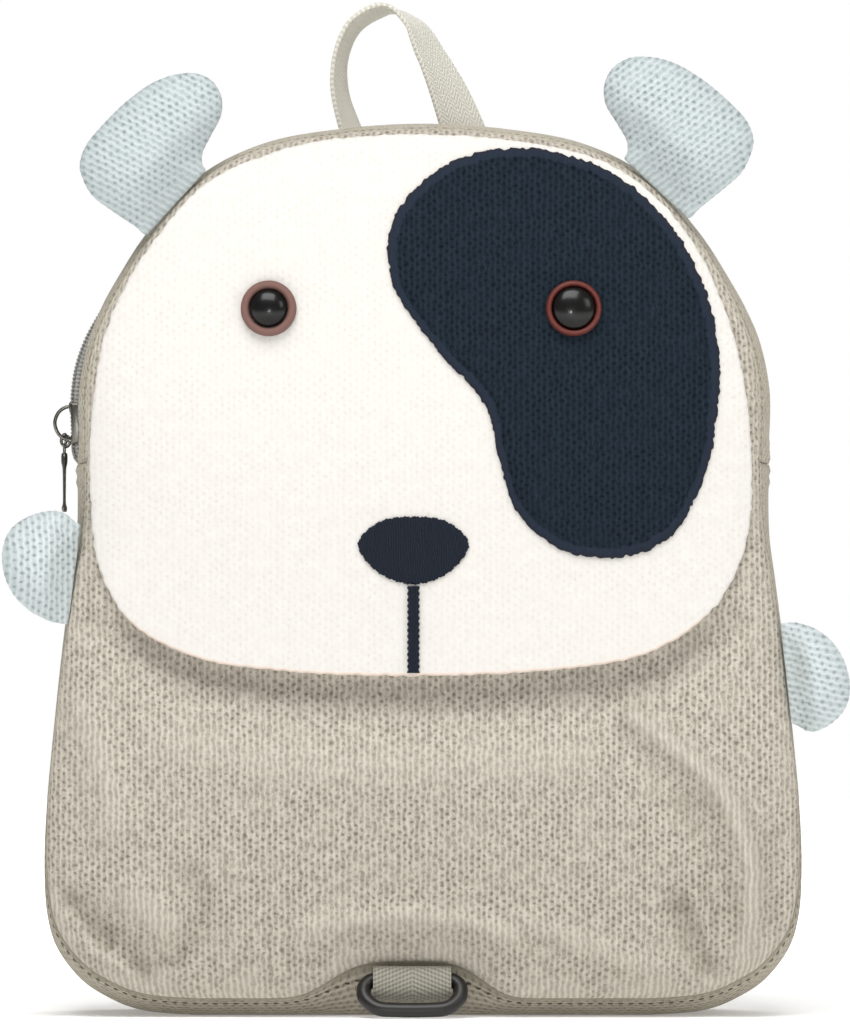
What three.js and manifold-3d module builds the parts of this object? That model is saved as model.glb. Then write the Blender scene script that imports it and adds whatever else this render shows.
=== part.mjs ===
// Toddler's knitted backpack shaped like a puppy, standing on its flat base.
// Millimetres, +Z up. The face looks along -Y, and the origin is the centre of the base.

import * as THREE from 'three';
import { ParametricGeometry } from 'three/addons/geometries/ParametricGeometry.js';
import { mergeVertices } from 'three/addons/utils/BufferGeometryUtils.js';
import Module from 'manifold-3d';

const wasm = await Module();
wasm.setup();

// Body
const bodyHeight = 280;
const bodyWidth = 238;
const gussetDepth = 72;
const gussetRound = 18;
const frontPuff = 15;
const backPuff = 5;
const clothWall = 2.6;
const clearance = 0.3;
const sideSeamHeight = 173;

// Zip round the top
const zipTapeWidth = 12;
const zipTapeWall = 1.4;
const zipSink = 0.6;
const zipBack = 3;
const coilWidth = 5;
const coilHeight = 1.8;
const sliderLength = 13;
const sliderWidth = 8;
const sliderWall = 2;
const sliderHeightOnBag = 186;
const bailWire = 1.3;
const bailFoot = 0.2;
const bailReach = 4.6;
const bailLength = 8;
const pullRingRadius = 4.4;
const pullWire = 0.75;
const pullLength = 18;
const pullWidth = 5.5;
const pullWall = 1.6;
const pullNeck = 4;
const pullTurn = 12;

// Face flap and what is sewn on it
const flapLow = 107;
const flapWall = 2;
const flapGap = 0.6;
const flapLift = 2.5;
const flapInset = 1.5;
const sewnGap = 0.4;
const patchWall = 1.4;
const noseWidth = 35;
const noseHeight = 21.6;
const noseUp = 146;
const noseAcross = -3;
const threadWall = 1.2;
const mouthWidth = 3.6;
const eyeUp = 221.4;
const eyeApart = 95;
const eyeShift = 0.6;
const eyeDiameter = 17.4;
const eyeRimHeight = 2.6;
const leftPupilDiameter = 11.8;
const rightPupilDiameter = 13.4;
const pupilHeight = 4.6;

// Ears and arms, stuffed and sewn in the front seam
const leftEarReach = 33.5;
const rightEarReach = 35.5;
const earSpan = 54;
const earThickness = 20;
const leftEarDrop = 24;
const rightEarDrop = 19.5;
const armSpan = 37.5;
const armThickness = 21;
const leftArmReach = 23.3;
const rightArmReach = 19.5;
const leftArmUp = 136;
const rightArmUp = 105.2;
const rootThickness = 5;
const rootStand = 0.6;

// Handle
const handleWidth = 20;
const handleThickness = 1.8;
const handleRise = 36;
const handleSpan = 35;
const handleAcross = -5.6;
const handleBack = 30;
const handleSeat = 1.8;

// Webbing tab and ring at the front of the base
const tabAcross = -3.4;
const tabWidth = 24.4;
const tabThickness = 1.3;
const tabTuck = 0.5;
const tabLift = 11.5;
const tabLiftLeft = 28;
const tabLiftRight = 24;
const ringBar = 4.6;
const ringHeight = 16.5;

// Shoulder straps
const padLength = 150;
const padWidth = 42;
const padThickness = 8;
const padTopUp = 256;
const padTopAcross = 30;
const padDrift = 26;
const padStandOff = 26;
const webWidth = 20;
const webThickness = 1.6;
const webLowUp = 24;
const webLowAcross = 84;
const webBow = 6;

const halfWidth = bodyWidth / 2;
const halfDepth = gussetDepth / 2;

// Half of the silhouette from the base centre to the top centre, in shares of height and half width
const outlineRows = [
  { up: 0, out: 0 },
  { up: 0, out: 0.34 },
  { up: 0, out: 0.6 },
  { up: 0.0067, out: 0.755 },
  { up: 0.0223, out: 0.842 },
  { up: 0.0402, out: 0.903 },
  { up: 0.0759, out: 0.967 },
  { up: 0.1116, out: 0.992 },
  { up: 0.165, out: 1 },
  { up: 0.2366, out: 0.993 },
  { up: 0.308, out: 0.978 },
  { up: 0.42, out: 0.95 },
  { up: 0.487, out: 0.93 },
  { up: 0.54, out: 0.914 },
  { up: 0.63, out: 0.913 },
  { up: 0.7, out: 0.915 },
  { up: 0.754, out: 0.89 },
  { up: 0.79, out: 0.855 },
  { up: 0.826, out: 0.808 },
  { up: 0.88, out: 0.725 },
  { up: 0.943, out: 0.585 },
  { up: 0.978, out: 0.42 },
  { up: 0.994, out: 0.22 },
  { up: 1, out: 0 },
];

// How far each seam lies inside the silhouette, and how far it is drawn up over the tab
const frontSeam = { facing: -1, side: 1.5, shoulder: 3, low: 6, top: 2.5, lift: tabLift };
const backSeam = { facing: 1, side: 1.5, shoulder: 0, low: 4, top: 2.5, lift: 0 };
const shoulderUp = 0.7 * bodyHeight;
const shoulderSpread = 0.2 * bodyHeight;

// Folds of the front panel in shares of half width and height, with the rise out of the surface
const foldRows = [
  { across: 0.81, up: 0.17, turn: -74, reach: 30, spread: 8, rise: 3.2 },
  { across: 0.7, up: 0.1, turn: -80, reach: 20, spread: 8, rise: -2.6 },
  { across: -0.83, up: 0.1, turn: 64, reach: 18, spread: 7, rise: -2.4 },
  { across: -0.62, up: 0.09, turn: 70, reach: 16, spread: 8, rise: -2 },
  { across: -0.86, up: 0.4, turn: 74, reach: 26, spread: 9, rise: 2 },
  { across: 0, up: 0.26, turn: 0, reach: 90, spread: 34, rise: 3 },
];

const bell = (distance, spread) => Math.exp(-((distance / spread) ** 2));
const flatBell = (distance, spread) => Math.exp(-((distance / spread) ** 4));
const radians = THREE.MathUtils.degToRad;
const mix = THREE.MathUtils.lerp;

// Merges a surface into one closed body with its faces pointing out
function closedBody(surface) {
  const bare = surface.index ? surface.toNonIndexed() : surface;
  bare.deleteAttribute('normal');
  bare.deleteAttribute('uv');
  const merged = mergeVertices(bare, 1e-3);
  const { index } = merged;
  const corner = merged.attributes.position;
  const points = [0, 1, 2].map(() => new THREE.Vector3());
  const kept = [];
  let volume = 0;
  for (let i = 0; i < index.count; i += 3) {
    const face = [index.getX(i), index.getX(i + 1), index.getX(i + 2)];
    if (new Set(face).size < 3) continue;
    face.forEach((vertex, k) => points[k].fromBufferAttribute(corner, vertex));
    volume += points[0].dot(points[1].clone().cross(points[2]));
    kept.push(face);
  }
  merged.setIndex((volume > 0 ? kept : kept.map(([a, b, c]) => [a, c, b])).flat());
  merged.computeVertexNormals();
  return merged;
}

// A closed skin from a grid of points, each found by its column and row
function skin(pointAt, columns, rows) {
  const surface = new ParametricGeometry((u, v, target) => {
    target.copy(pointAt(Math.round(u * columns) % columns, Math.round(v * rows)));
  }, columns, rows);
  return closedBody(surface);
}

// Joins closed bodies that overlap into one
function joined(...bodies) {
  const solids = bodies.map((body) => new wasm.Manifold(new wasm.Mesh({
    numProp: 3,
    vertProperties: body.attributes.position.array,
    triVerts: new Uint32Array(body.index.array),
  })));
  const mesh = solids.reduce((whole, solid) => whole.add(solid)).getMesh();
  const geometry = new THREE.BufferGeometry();
  geometry.setAttribute('position', new THREE.BufferAttribute(mesh.vertProperties, 3));
  geometry.setIndex(new THREE.BufferAttribute(mesh.triVerts, 1));
  geometry.computeVertexNormals();
  return geometry;
}

// A closed band along a smooth path; every row gives a centre, a width, a thickness and a turn
function sweptBand({ rows, sides, steps, roundness, acrossAt }) {
  const path = new THREE.CatmullRomCurve3(rows.map((row) => new THREE.Vector3(row.x, row.y, row.z)));
  const sizes = new THREE.CatmullRomCurve3(
    rows.map((row) => new THREE.Vector3(row.width, row.thick, row.turn ?? 0)),
  );
  const power = (value) => Math.sign(value) * Math.abs(value) ** roundness;
  const sections = Array.from({ length: steps + 1 }, (_, step) => {
    const along = step / steps;
    const centre = path.getPoint(along);
    const tangent = path.getTangent(along);
    const size = sizes.getPoint(along);
    const across = acrossAt(tangent, size.z);
    across.addScaledVector(tangent, -across.dot(tangent)).normalize();
    const outward = tangent.clone().cross(across);
    return { centre, across, outward, halfWide: size.x / 2, halfThick: size.y / 2 };
  });
  return skin((column, row) => {
    const section = sections[Math.min(Math.max(row - 1, 0), steps)];
    if (row === 0 || row === steps + 2) return section.centre;
    const angle = (2 * Math.PI * (column + 0.5)) / sides;
    return section.centre.clone()
      .addScaledVector(section.across, section.halfWide * power(Math.cos(angle)))
      .addScaledVector(section.outward, section.halfThick * power(Math.sin(angle)));
  }, sides, steps + 2);
}

const mirroredRows = [...outlineRows, ...outlineRows.slice(1, -1).reverse().map((row) => ({
  up: row.up,
  out: -row.out,
}))];
const bodyOutline = new THREE.CatmullRomCurve3(
  mirroredRows.map((row) => new THREE.Vector3(row.out * halfWidth, 0, row.up * bodyHeight)),
  true,
);
bodyOutline.arcLengthDivisions = 600;
const outlineLength = bodyOutline.getLength();

// The silhouette by its share of the way round, from the base centre towards +X
function outlinePoint(share) {
  const point = bodyOutline.getPointAt(((share % 1) + 1) % 1);
  point.z = Math.max(point.z, 0);
  return point;
}

function outlineOutward(share) {
  const tangent = bodyOutline.getTangentAt(((share % 1) + 1) % 1);
  return new THREE.Vector3(tangent.z, 0, -tangent.x).normalize();
}

// The share of the way round at which the right side of the silhouette reaches a height
function shareAtHeight(height) {
  let low = 0.02;
  let high = 0.5;
  for (let i = 0; i < 40; i += 1) {
    const middle = (low + high) / 2;
    if (outlinePoint(middle).z < height) low = middle;
    else high = middle;
  }
  return low;
}

function seamPoint(share, seam) {
  const edge = outlinePoint(share);
  const inset = seam.side + seam.shoulder * bell(edge.z - shoulderUp, shoulderSpread);
  const x = edge.x * (1 - inset / halfWidth);
  const atBase = bell(edge.z, seam.low * 4);
  const z = mix(seam.low, bodyHeight - seam.top, edge.z / bodyHeight)
    + seam.lift * flatBell(x - tabAcross, x < tabAcross ? tabLiftLeft : tabLiftRight) * atBase;
  return new THREE.Vector3(x, seam.facing * halfDepth, z);
}

// Distance from the panels' centre to a seam in any direction, for finding depths on a panel
const panelCentre = new THREE.Vector3(0, 0, 0.46 * bodyHeight);
function seamRadii(seam) {
  const count = 240;
  return Array.from({ length: count }, (_, i) => {
    const point = seamPoint(i / count, seam).sub(panelCentre);
    return { angle: Math.atan2(point.z, point.x), radius: Math.hypot(point.x, point.z) };
  }).sort((a, b) => a.angle - b.angle);
}

function radiusToward(radii, angle) {
  const next = radii.findIndex((entry) => entry.angle > angle);
  if (next <= 0) return radii[0].radius;
  const before = radii[next - 1];
  const after = radii[next];
  const share = (angle - before.angle) / (after.angle - before.angle);
  return mix(before.radius, after.radius, share);
}

const frontRadii = seamRadii(frontSeam);
const backRadii = seamRadii(backSeam);
const dome = (share) => (1 - Math.min(share, 1) ** 3) ** 0.6;

function foldRise(x, z) {
  return foldRows.reduce((rise, fold) => {
    const dx = x - fold.across * halfWidth;
    const dz = z - fold.up * bodyHeight;
    const turn = radians(fold.turn);
    const along = dx * Math.cos(turn) + dz * Math.sin(turn);
    const across = dz * Math.cos(turn) - dx * Math.sin(turn);
    return rise + fold.rise * bell(along, fold.reach) * bell(across, fold.spread);
  }, 0);
}

// How far the knit stands out of the seam's plane
function frontRise(x, z, share) {
  const puff = frontPuff * (1.05 - 0.25 * (z / bodyHeight));
  return clothWall + puff * dome(share) + foldRise(x, z) * Math.min(1, 8 * (1 - Math.min(share, 1)));
}

function backRise(x, z, share) {
  return clothWall + backPuff * dome(share);
}

// Depth of a panel's outer face at any place on it
function shareOnPanel(radii, x, z) {
  const dx = x - panelCentre.x;
  const dz = z - panelCentre.z;
  return Math.hypot(dx, dz) / radiusToward(radii, Math.atan2(dz, dx));
}
const frontDepth = (x, z) => -(halfDepth + frontRise(x, z, shareOnPanel(frontRadii, x, z)));
const backDepth = (x, z) => halfDepth + backRise(x, z, shareOnPanel(backRadii, x, z));

// Domed panel inside a seam, lying on the gusset's edge
function panel(seam, riseAt, columns, outerRows, innerRows) {
  const rows = outerRows + 1 + innerRows + 1;
  return skin((column, row) => {
    const edge = seamPoint(column / columns, seam);
    const onEdge = row === outerRows + 1;
    const outer = row <= outerRows;
    const share = outer ? Math.sin((Math.PI / 2) * (row / outerRows)) : (rows - row) / innerRows;
    if (onEdge) return edge;
    const radius = edge.clone().sub(panelCentre).setY(0);
    const wallShare = outer ? 1 : 1 - clothWall / radius.length();
    const x = panelCentre.x + radius.x * share * wallShare;
    const z = panelCentre.z + radius.z * share * wallShare;
    const rise = riseAt(x, z, share) - (outer ? 0 : clothWall);
    return new THREE.Vector3(x, seam.facing * (halfDepth + rise), z);
  }, columns, rows);
}

// A point on the gusset's outer face; depth runs from the front seam to the back seam
function gussetPoint(share, y) {
  const seam = y < 0 ? frontSeam : backSeam;
  const reach = Math.min((halfDepth - Math.abs(y)) / gussetRound, 1);
  const swell = Math.sin((Math.PI / 2) * reach);
  const edge = seamPoint(share, seam);
  return edge.lerp(outlinePoint(share), swell).setY(y);
}

// A strip of the gusset between two shares of the way round and through a list of depths
function gussetStrip({ from, to, stations, depths, wall, raise }) {
  const loop = [
    ...depths.map((y) => ({ y, sink: -raise })),
    ...depths.slice().reverse().map((y) => ({ y, sink: wall - raise })),
  ];
  return skin((column, row) => {
    const station = Math.min(Math.max(row - 1, 0), stations);
    const share = mix(from, to, station / stations);
    const onEnd = row === 0 || row === stations + 2;
    const sink = onEnd ? wall / 2 - raise : loop[column].sink;
    return gussetPoint(share, loop[column].y).addScaledVector(outlineOutward(share), -sink);
  }, loop.length, stations + 2);
}

const seamShare = shareAtHeight(sideSeamHeight);
const seamGapShare = clearance / outlineLength / 2;
const edgeDepth = halfDepth - clearance;
const roundDepths = [0.12, 0.45, 1].map((share) => halfDepth - share * gussetRound);
const zipFront = zipBack - zipTapeWidth / 2;
const zipRear = zipBack + zipTapeWidth / 2;

function gussetLower() {
  const half = [edgeDepth, ...roundDepths];
  const depths = [...half.map((y) => -y), ...half.slice().reverse()];
  return gussetStrip({
    from: -seamShare + seamGapShare,
    to: seamShare - seamGapShare,
    stations: 44,
    depths,
    wall: clothWall,
    raise: 0,
  });
}

function topStrip(depths, wall, raise) {
  return gussetStrip({
    from: seamShare + seamGapShare,
    to: 1 - seamShare - seamGapShare,
    stations: 28,
    depths,
    wall,
    raise,
  });
}

function gussetTopFront() {
  const depths = [edgeDepth, ...roundDepths].map((y) => -y);
  return topStrip([...depths, zipFront - clearance], clothWall, 0);
}

function gussetTopBack() {
  const depths = [edgeDepth, ...roundDepths].reverse();
  return topStrip([zipRear + clearance, ...depths], clothWall, 0);
}

const zipTape = () => topStrip([zipFront, zipRear], zipTapeWall, -zipSink);

// The zip's teeth lie on the tape's outer face
function zipCoil() {
  const outer = [-0.5, -0.3, 0.3, 0.5].map((share) => zipBack + share * coilWidth);
  const raises = [0, 1, 1, 0];
  const seat = clearance - zipSink;
  const stations = 28;
  return skin((column, row) => {
    const station = Math.min(Math.max(row - 1, 0), stations);
    const share = mix(seamShare + seamGapShare, 1 - seamShare - seamGapShare, station / stations);
    const onEnd = row === 0 || row === stations + 2;
    const y = onEnd ? zipBack : outer[column];
    const raise = seat + (onEnd ? 0.5 : raises[column]) * coilHeight;
    return gussetPoint(share, y).addScaledVector(outlineOutward(share), raise);
  }, outer.length, stations + 2);
}

// Flat work that follows the face: an outline filled from its middle, laid on the panel or flap
function overlay({ outline, middle, columns, outerRows, innerRows, seatAt, wall, edgeRound }) {
  const rows = outerRows + innerRows + 1;
  return skin((column, row) => {
    const edge = outline.getPointAt(column / columns);
    const outer = row <= outerRows;
    const share = outer ? row / outerRows : (rows - row) / innerRows;
    const inset = outer && row === outerRows ? 1 - edgeRound : 1;
    const x = mix(middle.x, edge.x, share * inset);
    const z = mix(middle.z, edge.z, share * inset);
    return new THREE.Vector3(x, seatAt(x, z) - (outer ? wall : 0), z);
  }, columns, rows);
}

const closedCurve = (points) => new THREE.CatmullRomCurve3(points, true);

// The flap's width by height, in shares of the flap's height and the body's half width
const flapRows = [
  { up: 0.972, left: -0.33, right: 0.4 },
  { up: 0.92, left: -0.575, right: 0.56 },
  { up: 0.813, left: -0.735, right: 0.705 },
  { up: 0.655, left: -0.828, right: 0.8 },
  { up: 0.5, left: -0.866, right: 0.85 },
  { up: 0.322, left: -0.873, right: 0.862 },
  { up: 0.195, left: -0.848, right: 0.825 },
  { up: 0.1, left: -0.768, right: 0.728 },
  { up: 0.037, left: -0.61, right: 0.57 },
  { up: 0.009, left: -0.37, right: 0.31 },
];
const flapTop = bodyHeight - frontSeam.top;
const flapPoint = (out, up) => new THREE.Vector3(out * halfWidth, 0, mix(flapLow, flapTop, up));

// The flap is sewn in the front seam above, so no point of it passes the seam
function insideSeam(point) {
  const arm = point.clone().sub(panelCentre).setY(0);
  const most = radiusToward(frontRadii, Math.atan2(arm.z, arm.x)) - flapInset;
  return arm.setLength(Math.min(arm.length(), most)).add(panelCentre);
}

const flapOutline = closedCurve([
  flapPoint(-0.03, 1),
  ...flapRows.map((row) => flapPoint(row.right, row.up)),
  flapPoint(-0.03, 0),
  ...flapRows.slice().reverse().map((row) => flapPoint(row.left, row.up)),
].map(insideSeam));
const flapMiddle = flapPoint(0, 0.45);

// Under side of the flap: close to the panel above, standing off towards its free lower edge
function flapSeat(x, z) {
  const loose = THREE.MathUtils.clamp(1 - (z - flapLow) / 40, 0, 1);
  const inward = new THREE.Vector3(x, 0, z).sub(panelCentre).setY(0);
  inward.setLength(Math.max(inward.length() - flapInset, 0)).add(panelCentre);
  return Math.min(frontDepth(x, z), frontDepth(inward.x, inward.z)) - flapGap - flapLift * loose ** 2;
}

const faceFlap = () => overlay({
  outline: flapOutline,
  middle: flapMiddle,
  columns: 46,
  outerRows: 7,
  innerRows: 6,
  seatAt: flapSeat,
  wall: flapWall,
  edgeRound: 0.006,
});

const onFlap = (x, z) => flapSeat(x, z) - flapWall - sewnGap;

// Edge of the patch round the right eye, in shares of half width and flap height
const patchRows = [
  { across: 0.24, up: 0.965 },
  { across: 0.06, up: 0.935 },
  { across: -0.08, up: 0.83 },
  { across: -0.08, up: 0.72 },
  { across: 0.03, up: 0.6 },
  { across: 0.165, up: 0.49 },
  { across: 0.2, up: 0.39 },
  { across: 0.25, up: 0.295 },
  { across: 0.35, up: 0.235 },
  { across: 0.5, up: 0.215 },
  { across: 0.64, up: 0.25 },
  { across: 0.73, up: 0.35 },
  { across: 0.775, up: 0.51 },
  { across: 0.77, up: 0.65 },
  { across: 0.7, up: 0.79 },
  { across: 0.585, up: 0.895 },
  { across: 0.44, up: 0.955 },
];

const eyePatch = () => overlay({
  outline: closedCurve(patchRows.map((row) => flapPoint(row.across, row.up))),
  middle: flapPoint(0.42, 0.62),
  columns: 36,
  outerRows: 4,
  innerRows: 3,
  seatAt: onFlap,
  wall: patchWall,
  edgeRound: 0.012,
});

// Rounded nose, wider above than below, in shares of its own half width and half height
const noseRows = [
  { across: 0, up: 1 },
  { across: 0.62, up: 0.84 },
  { across: 1, up: 0.2 },
  { across: 0.66, up: -0.62 },
  { across: 0, up: -1 },
  { across: -0.66, up: -0.62 },
  { across: -1, up: 0.2 },
  { across: -0.62, up: 0.84 },
];
const nosePoint = (across, up) => new THREE.Vector3(
  noseAcross + (across * noseWidth) / 2,
  0,
  noseUp + (up * noseHeight) / 2,
);

const nose = () => overlay({
  outline: closedCurve(noseRows.map((row) => nosePoint(row.across, row.up))),
  middle: nosePoint(0, 0),
  columns: 20,
  outerRows: 2,
  innerRows: 2,
  seatAt: onFlap,
  wall: threadWall,
  edgeRound: 0.05,
});

function mouthLine() {
  const top = noseUp - noseHeight / 2 - clearance;
  const half = mouthWidth / 2;
  const steps = 8;
  const corners = [[-half, 0], [half, 0], [half, -threadWall], [-half, -threadWall]];
  return skin((column, row) => {
    const station = Math.min(Math.max(row - 1, 0), steps);
    const z = mix(top, flapLow + 1, station / steps);
    const onEnd = row === 0 || row === steps + 2;
    const [across, depth] = onEnd ? [0, -threadWall / 2] : corners[column];
    return new THREE.Vector3(noseAcross + across, onFlap(noseAcross, z) + depth, z);
  }, corners.length, steps + 2);
}

// Turns a lathed shape to stand on the face at a place, along the face's own outward direction
function standOnFace(geometry, x, z, seatAt) {
  const step = 4;
  const slopeX = (seatAt(x + step, z) - seatAt(x - step, z)) / (2 * step);
  const slopeZ = (seatAt(x, z + step) - seatAt(x, z - step)) / (2 * step);
  const outward = new THREE.Vector3(slopeX, -1, slopeZ).normalize();
  const turn = new THREE.Quaternion().setFromUnitVectors(new THREE.Vector3(0, 1, 0), outward);
  const seat = new THREE.Vector3(x, seatAt(x, z), z);
  return geometry.clone().applyQuaternion(turn).translate(seat.x, seat.y, seat.z);
}

function lathed(points, segments) {
  const profile = points.map(([radius, height]) => new THREE.Vector2(radius, height));
  return closedBody(new THREE.LatheGeometry(profile, segments));
}

function eyeRim(pupilDiameter) {
  const outer = eyeDiameter / 2;
  const inner = pupilDiameter / 2 + clearance;
  const middle = (outer + inner) / 2;
  return lathed([
    [inner, 0],
    [outer, 0],
    [outer, 0.4 * eyeRimHeight],
    [mix(outer, middle, 0.5), 0.85 * eyeRimHeight],
    [middle, eyeRimHeight],
    [inner, 0.9 * eyeRimHeight],
    [inner, 0],
  ], 18);
}

function eyePupil(pupilDiameter) {
  const radius = pupilDiameter / 2;
  const wall = 0.3 * pupilHeight;
  const arc = [0, 30, 55, 75, 90].map((turn) => [
    radius * Math.cos(radians(turn)),
    wall + (pupilHeight - wall) * Math.sin(radians(turn)),
  ]);
  arc[arc.length - 1][0] = 0;
  return lathed([[0, 0], [radius, 0], ...arc], 18);
}

// Outline of an ear in shares of its reach away from the seam and its span along the seam
const earRows = [
  { away: 0, along: 0 },
  { away: 0, along: -0.25 },
  { away: 0.14, along: -0.262 },
  { away: 0.45, along: -0.29 },
  { away: 0.62, along: -0.298 },
  { away: 0.78, along: -0.268 },
  { away: 0.9, along: -0.22 },
  { away: 0.98, along: -0.12 },
  { away: 1, along: 0.05 },
  { away: 0.98, along: 0.25 },
  { away: 0.92, along: 0.42 },
  { away: 0.82, along: 0.54 },
  { away: 0.68, along: 0.63 },
  { away: 0.52, along: 0.66 },
  { away: 0.36, along: 0.63 },
  { away: 0.245, along: 0.55 },
  { away: 0.185, along: 0.42 },
  { away: 0.13, along: 0.31 },
  { away: 0.06, along: 0.265 },
  { away: 0, along: 0.25 },
];
const earMiddle = { away: 0.54, along: 0.04 };

const armRows = [
  { away: 0, along: 0 },
  { away: 0, along: -0.4 },
  { away: 0.1, along: -0.405 },
  { away: 0.24, along: -0.4 },
  { away: 0.37, along: -0.375 },
  { away: 0.5, along: -0.345 },
  { away: 0.62, along: -0.3 },
  { away: 0.75, along: -0.235 },
  { away: 0.88, along: -0.13 },
  { away: 0.97, along: 0 },
  { away: 1, along: 0.14 },
  { away: 0.965, along: 0.27 },
  { away: 0.88, along: 0.36 },
  { away: 0.75, along: 0.43 },
  { away: 0.62, along: 0.475 },
  { away: 0.49, along: 0.505 },
  { away: 0.365, along: 0.52 },
  { away: 0.236, along: 0.51 },
  { away: 0.107, along: 0.46 },
  { away: 0, along: 0.42 },
];
const armMiddle = { away: 0.46, along: 0.02 };

// A stuffed piece blown up between two layers, with its straight root along the front seam
function stuffed({ rows, middle, height, side, reach, span, thickness, columns, layers }) {
  const right = shareAtHeight(height);
  const share = side > 0 ? right : 1 - right;
  const away = outlineOutward(share);
  const along = new THREE.Vector3(-away.z * side, 0, away.x * side);
  const root = seamPoint(share, frontSeam).addScaledVector(away, rootStand);
  root.y = -(halfDepth + clearance + rootThickness / 2);
  const placed = (row) => root.clone()
    .addScaledVector(away, row.away * reach)
    .addScaledVector(along, row.along * span);
  const outline = closedCurve(rows.map(placed));
  const centre = placed(middle);
  return skin((column, row) => {
    const turn = (Math.PI * row) / (2 * layers);
    const edge = outline.getPointAt(column / columns);
    edge.addScaledVector(away, Math.max(0, -edge.clone().sub(root).dot(away)));
    const point = centre.clone().lerp(edge, Math.sin(turn));
    const fromRoot = point.clone().sub(root).dot(away) / (0.45 * reach);
    const fullness = mix(rootThickness / thickness, 1, THREE.MathUtils.smoothstep(fromRoot, 0, 1));
    point.y -= (thickness / 2) * fullness * Math.cos(turn);
    return point;
  }, columns, 2 * layers);
}

const ear = (side) => stuffed({
  rows: earRows,
  middle: earMiddle,
  height: bodyHeight - (side < 0 ? leftEarDrop : rightEarDrop),
  side,
  reach: side < 0 ? leftEarReach : rightEarReach,
  span: earSpan,
  thickness: earThickness,
  columns: 26,
  layers: 4,
});

// The right arm hangs the other way up from the left one
const arm = (side) => stuffed({
  rows: armRows.map((row) => ({ away: row.away, along: -side * row.along })),
  middle: armMiddle,
  height: side < 0 ? leftArmUp : rightArmUp,
  side,
  reach: side < 0 ? leftArmReach : rightArmReach,
  span: armSpan,
  thickness: armThickness,
  columns: 22,
  layers: 4,
});

// Handle rows in shares of span and rise, with the webbing's turn from front-to-back towards across
const handleRows = [
  { across: -0.5, up: 0, turn: 18 },
  { across: -0.58, up: 0.3, turn: 14 },
  { across: -0.57, up: 0.6, turn: 8 },
  { across: -0.4, up: 0.86, turn: 6 },
  { across: -0.16, up: 1, turn: 12 },
  { across: 0.08, up: 0.86, turn: 24 },
  { across: 0.27, up: 0.6, turn: 32 },
  { across: 0.4, up: 0.3, turn: 38 },
  { across: 0.5, up: 0, turn: 44 },
];

function handle() {
  const base = bodyHeight + handleSeat;
  return sweptBand({
    rows: handleRows.map((row) => ({
      x: handleAcross + row.across * handleSpan,
      y: handleBack,
      z: base + row.up * handleRise,
      width: handleWidth,
      thick: handleThickness,
      turn: row.turn,
    })),
    sides: 8,
    steps: 18,
    roundness: 0.35,
    acrossAt: (tangent, turn) => new THREE.Vector3(Math.sin(radians(turn)), Math.cos(radians(turn)), 0),
  });
}

// The ring hangs in the tab's loop and leans forward until its lower bar is just above the floor
const ringInside = tabWidth + 4 * clearance;
const ringDrop = ringHeight - ringBar;
const tabBend = ringBar / 2 + clearance + tabThickness / 2;
const tabRoot = frontSeam.low + tabLift * flatBell(tabWidth / 2, Math.min(tabLiftLeft, tabLiftRight))
  - tabTuck - clearance - tabThickness / 2;
const ringTop = new THREE.Vector3(
  tabAcross,
  -(halfDepth + clearance + tabThickness / 2 + tabBend),
  tabRoot - 1.05 * tabBend,
);
const ringLean = Math.acos(Math.min((ringTop.z - ringBar / 2 - clearance) / ringDrop, 1));
const ringLow = ringTop.clone().add(new THREE.Vector3(
  0,
  -ringDrop * Math.sin(ringLean),
  -ringDrop * Math.cos(ringLean),
));

function leashRing() {
  const halfAcross = (ringInside + ringBar) / 2;
  const halfUp = ringDrop / 2;
  const corner = 0.65 * ringBar;
  const shape = new THREE.Path();
  shape.moveTo(halfAcross - corner, -halfUp);
  shape.absarc(halfAcross - corner, -halfUp + corner, corner, -Math.PI / 2, 0);
  shape.absarc(halfAcross - corner, halfUp - corner, corner, 0, Math.PI / 2);
  shape.absarc(-halfAcross + corner, halfUp - corner, corner, Math.PI / 2, Math.PI);
  shape.absarc(-halfAcross + corner, -halfUp + corner, corner, Math.PI, 1.5 * Math.PI);
  shape.closePath();
  const steps = 32;
  const sides = 6;
  const centre = ringLow.clone().add(ringTop).multiplyScalar(0.5);
  const geometry = skin((column, row) => {
    const share = (row % steps) / steps;
    const point = shape.getPointAt(share);
    const tangent = shape.getTangentAt(share);
    const angle = (2 * Math.PI * (column + 0.5)) / sides;
    const out = (ringBar / 2) * Math.cos(angle);
    return new THREE.Vector3(
      point.x + tangent.y * out,
      (ringBar / 2) * Math.sin(angle),
      point.y - tangent.x * out,
    );
  }, sides, steps);
  return geometry.rotateX(-ringLean).translate(centre.x, centre.y, centre.z);
}

// Two layers of webbing from the seam round the ring's upper bar, in shares of the bend's radius
const tabRows = [
  { ahead: -0.9, up: 1.05 },
  { ahead: -1, up: -0.2 },
  { ahead: -0.72, up: -1.1 },
  { ahead: 0, up: -1.5 },
  { ahead: 0.72, up: -1.1 },
  { ahead: 1.04, up: -0.2 },
  { ahead: 0.72, up: 0.85 },
  { ahead: -0.2, up: 1.12 },
];

function ringTab() {
  const loopRows = tabRows.map((row) => ({
    y: ringTop.y - row.ahead * tabBend,
    z: ringTop.z + row.up * tabBend,
  }));
  return sweptBand({
    rows: loopRows.map((row) => ({ x: tabAcross, ...row, width: tabWidth, thick: tabThickness })),
    sides: 4,
    steps: 16,
    roundness: 0,
    acrossAt: () => new THREE.Vector3(1, 0, 0),
  });
}

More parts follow.
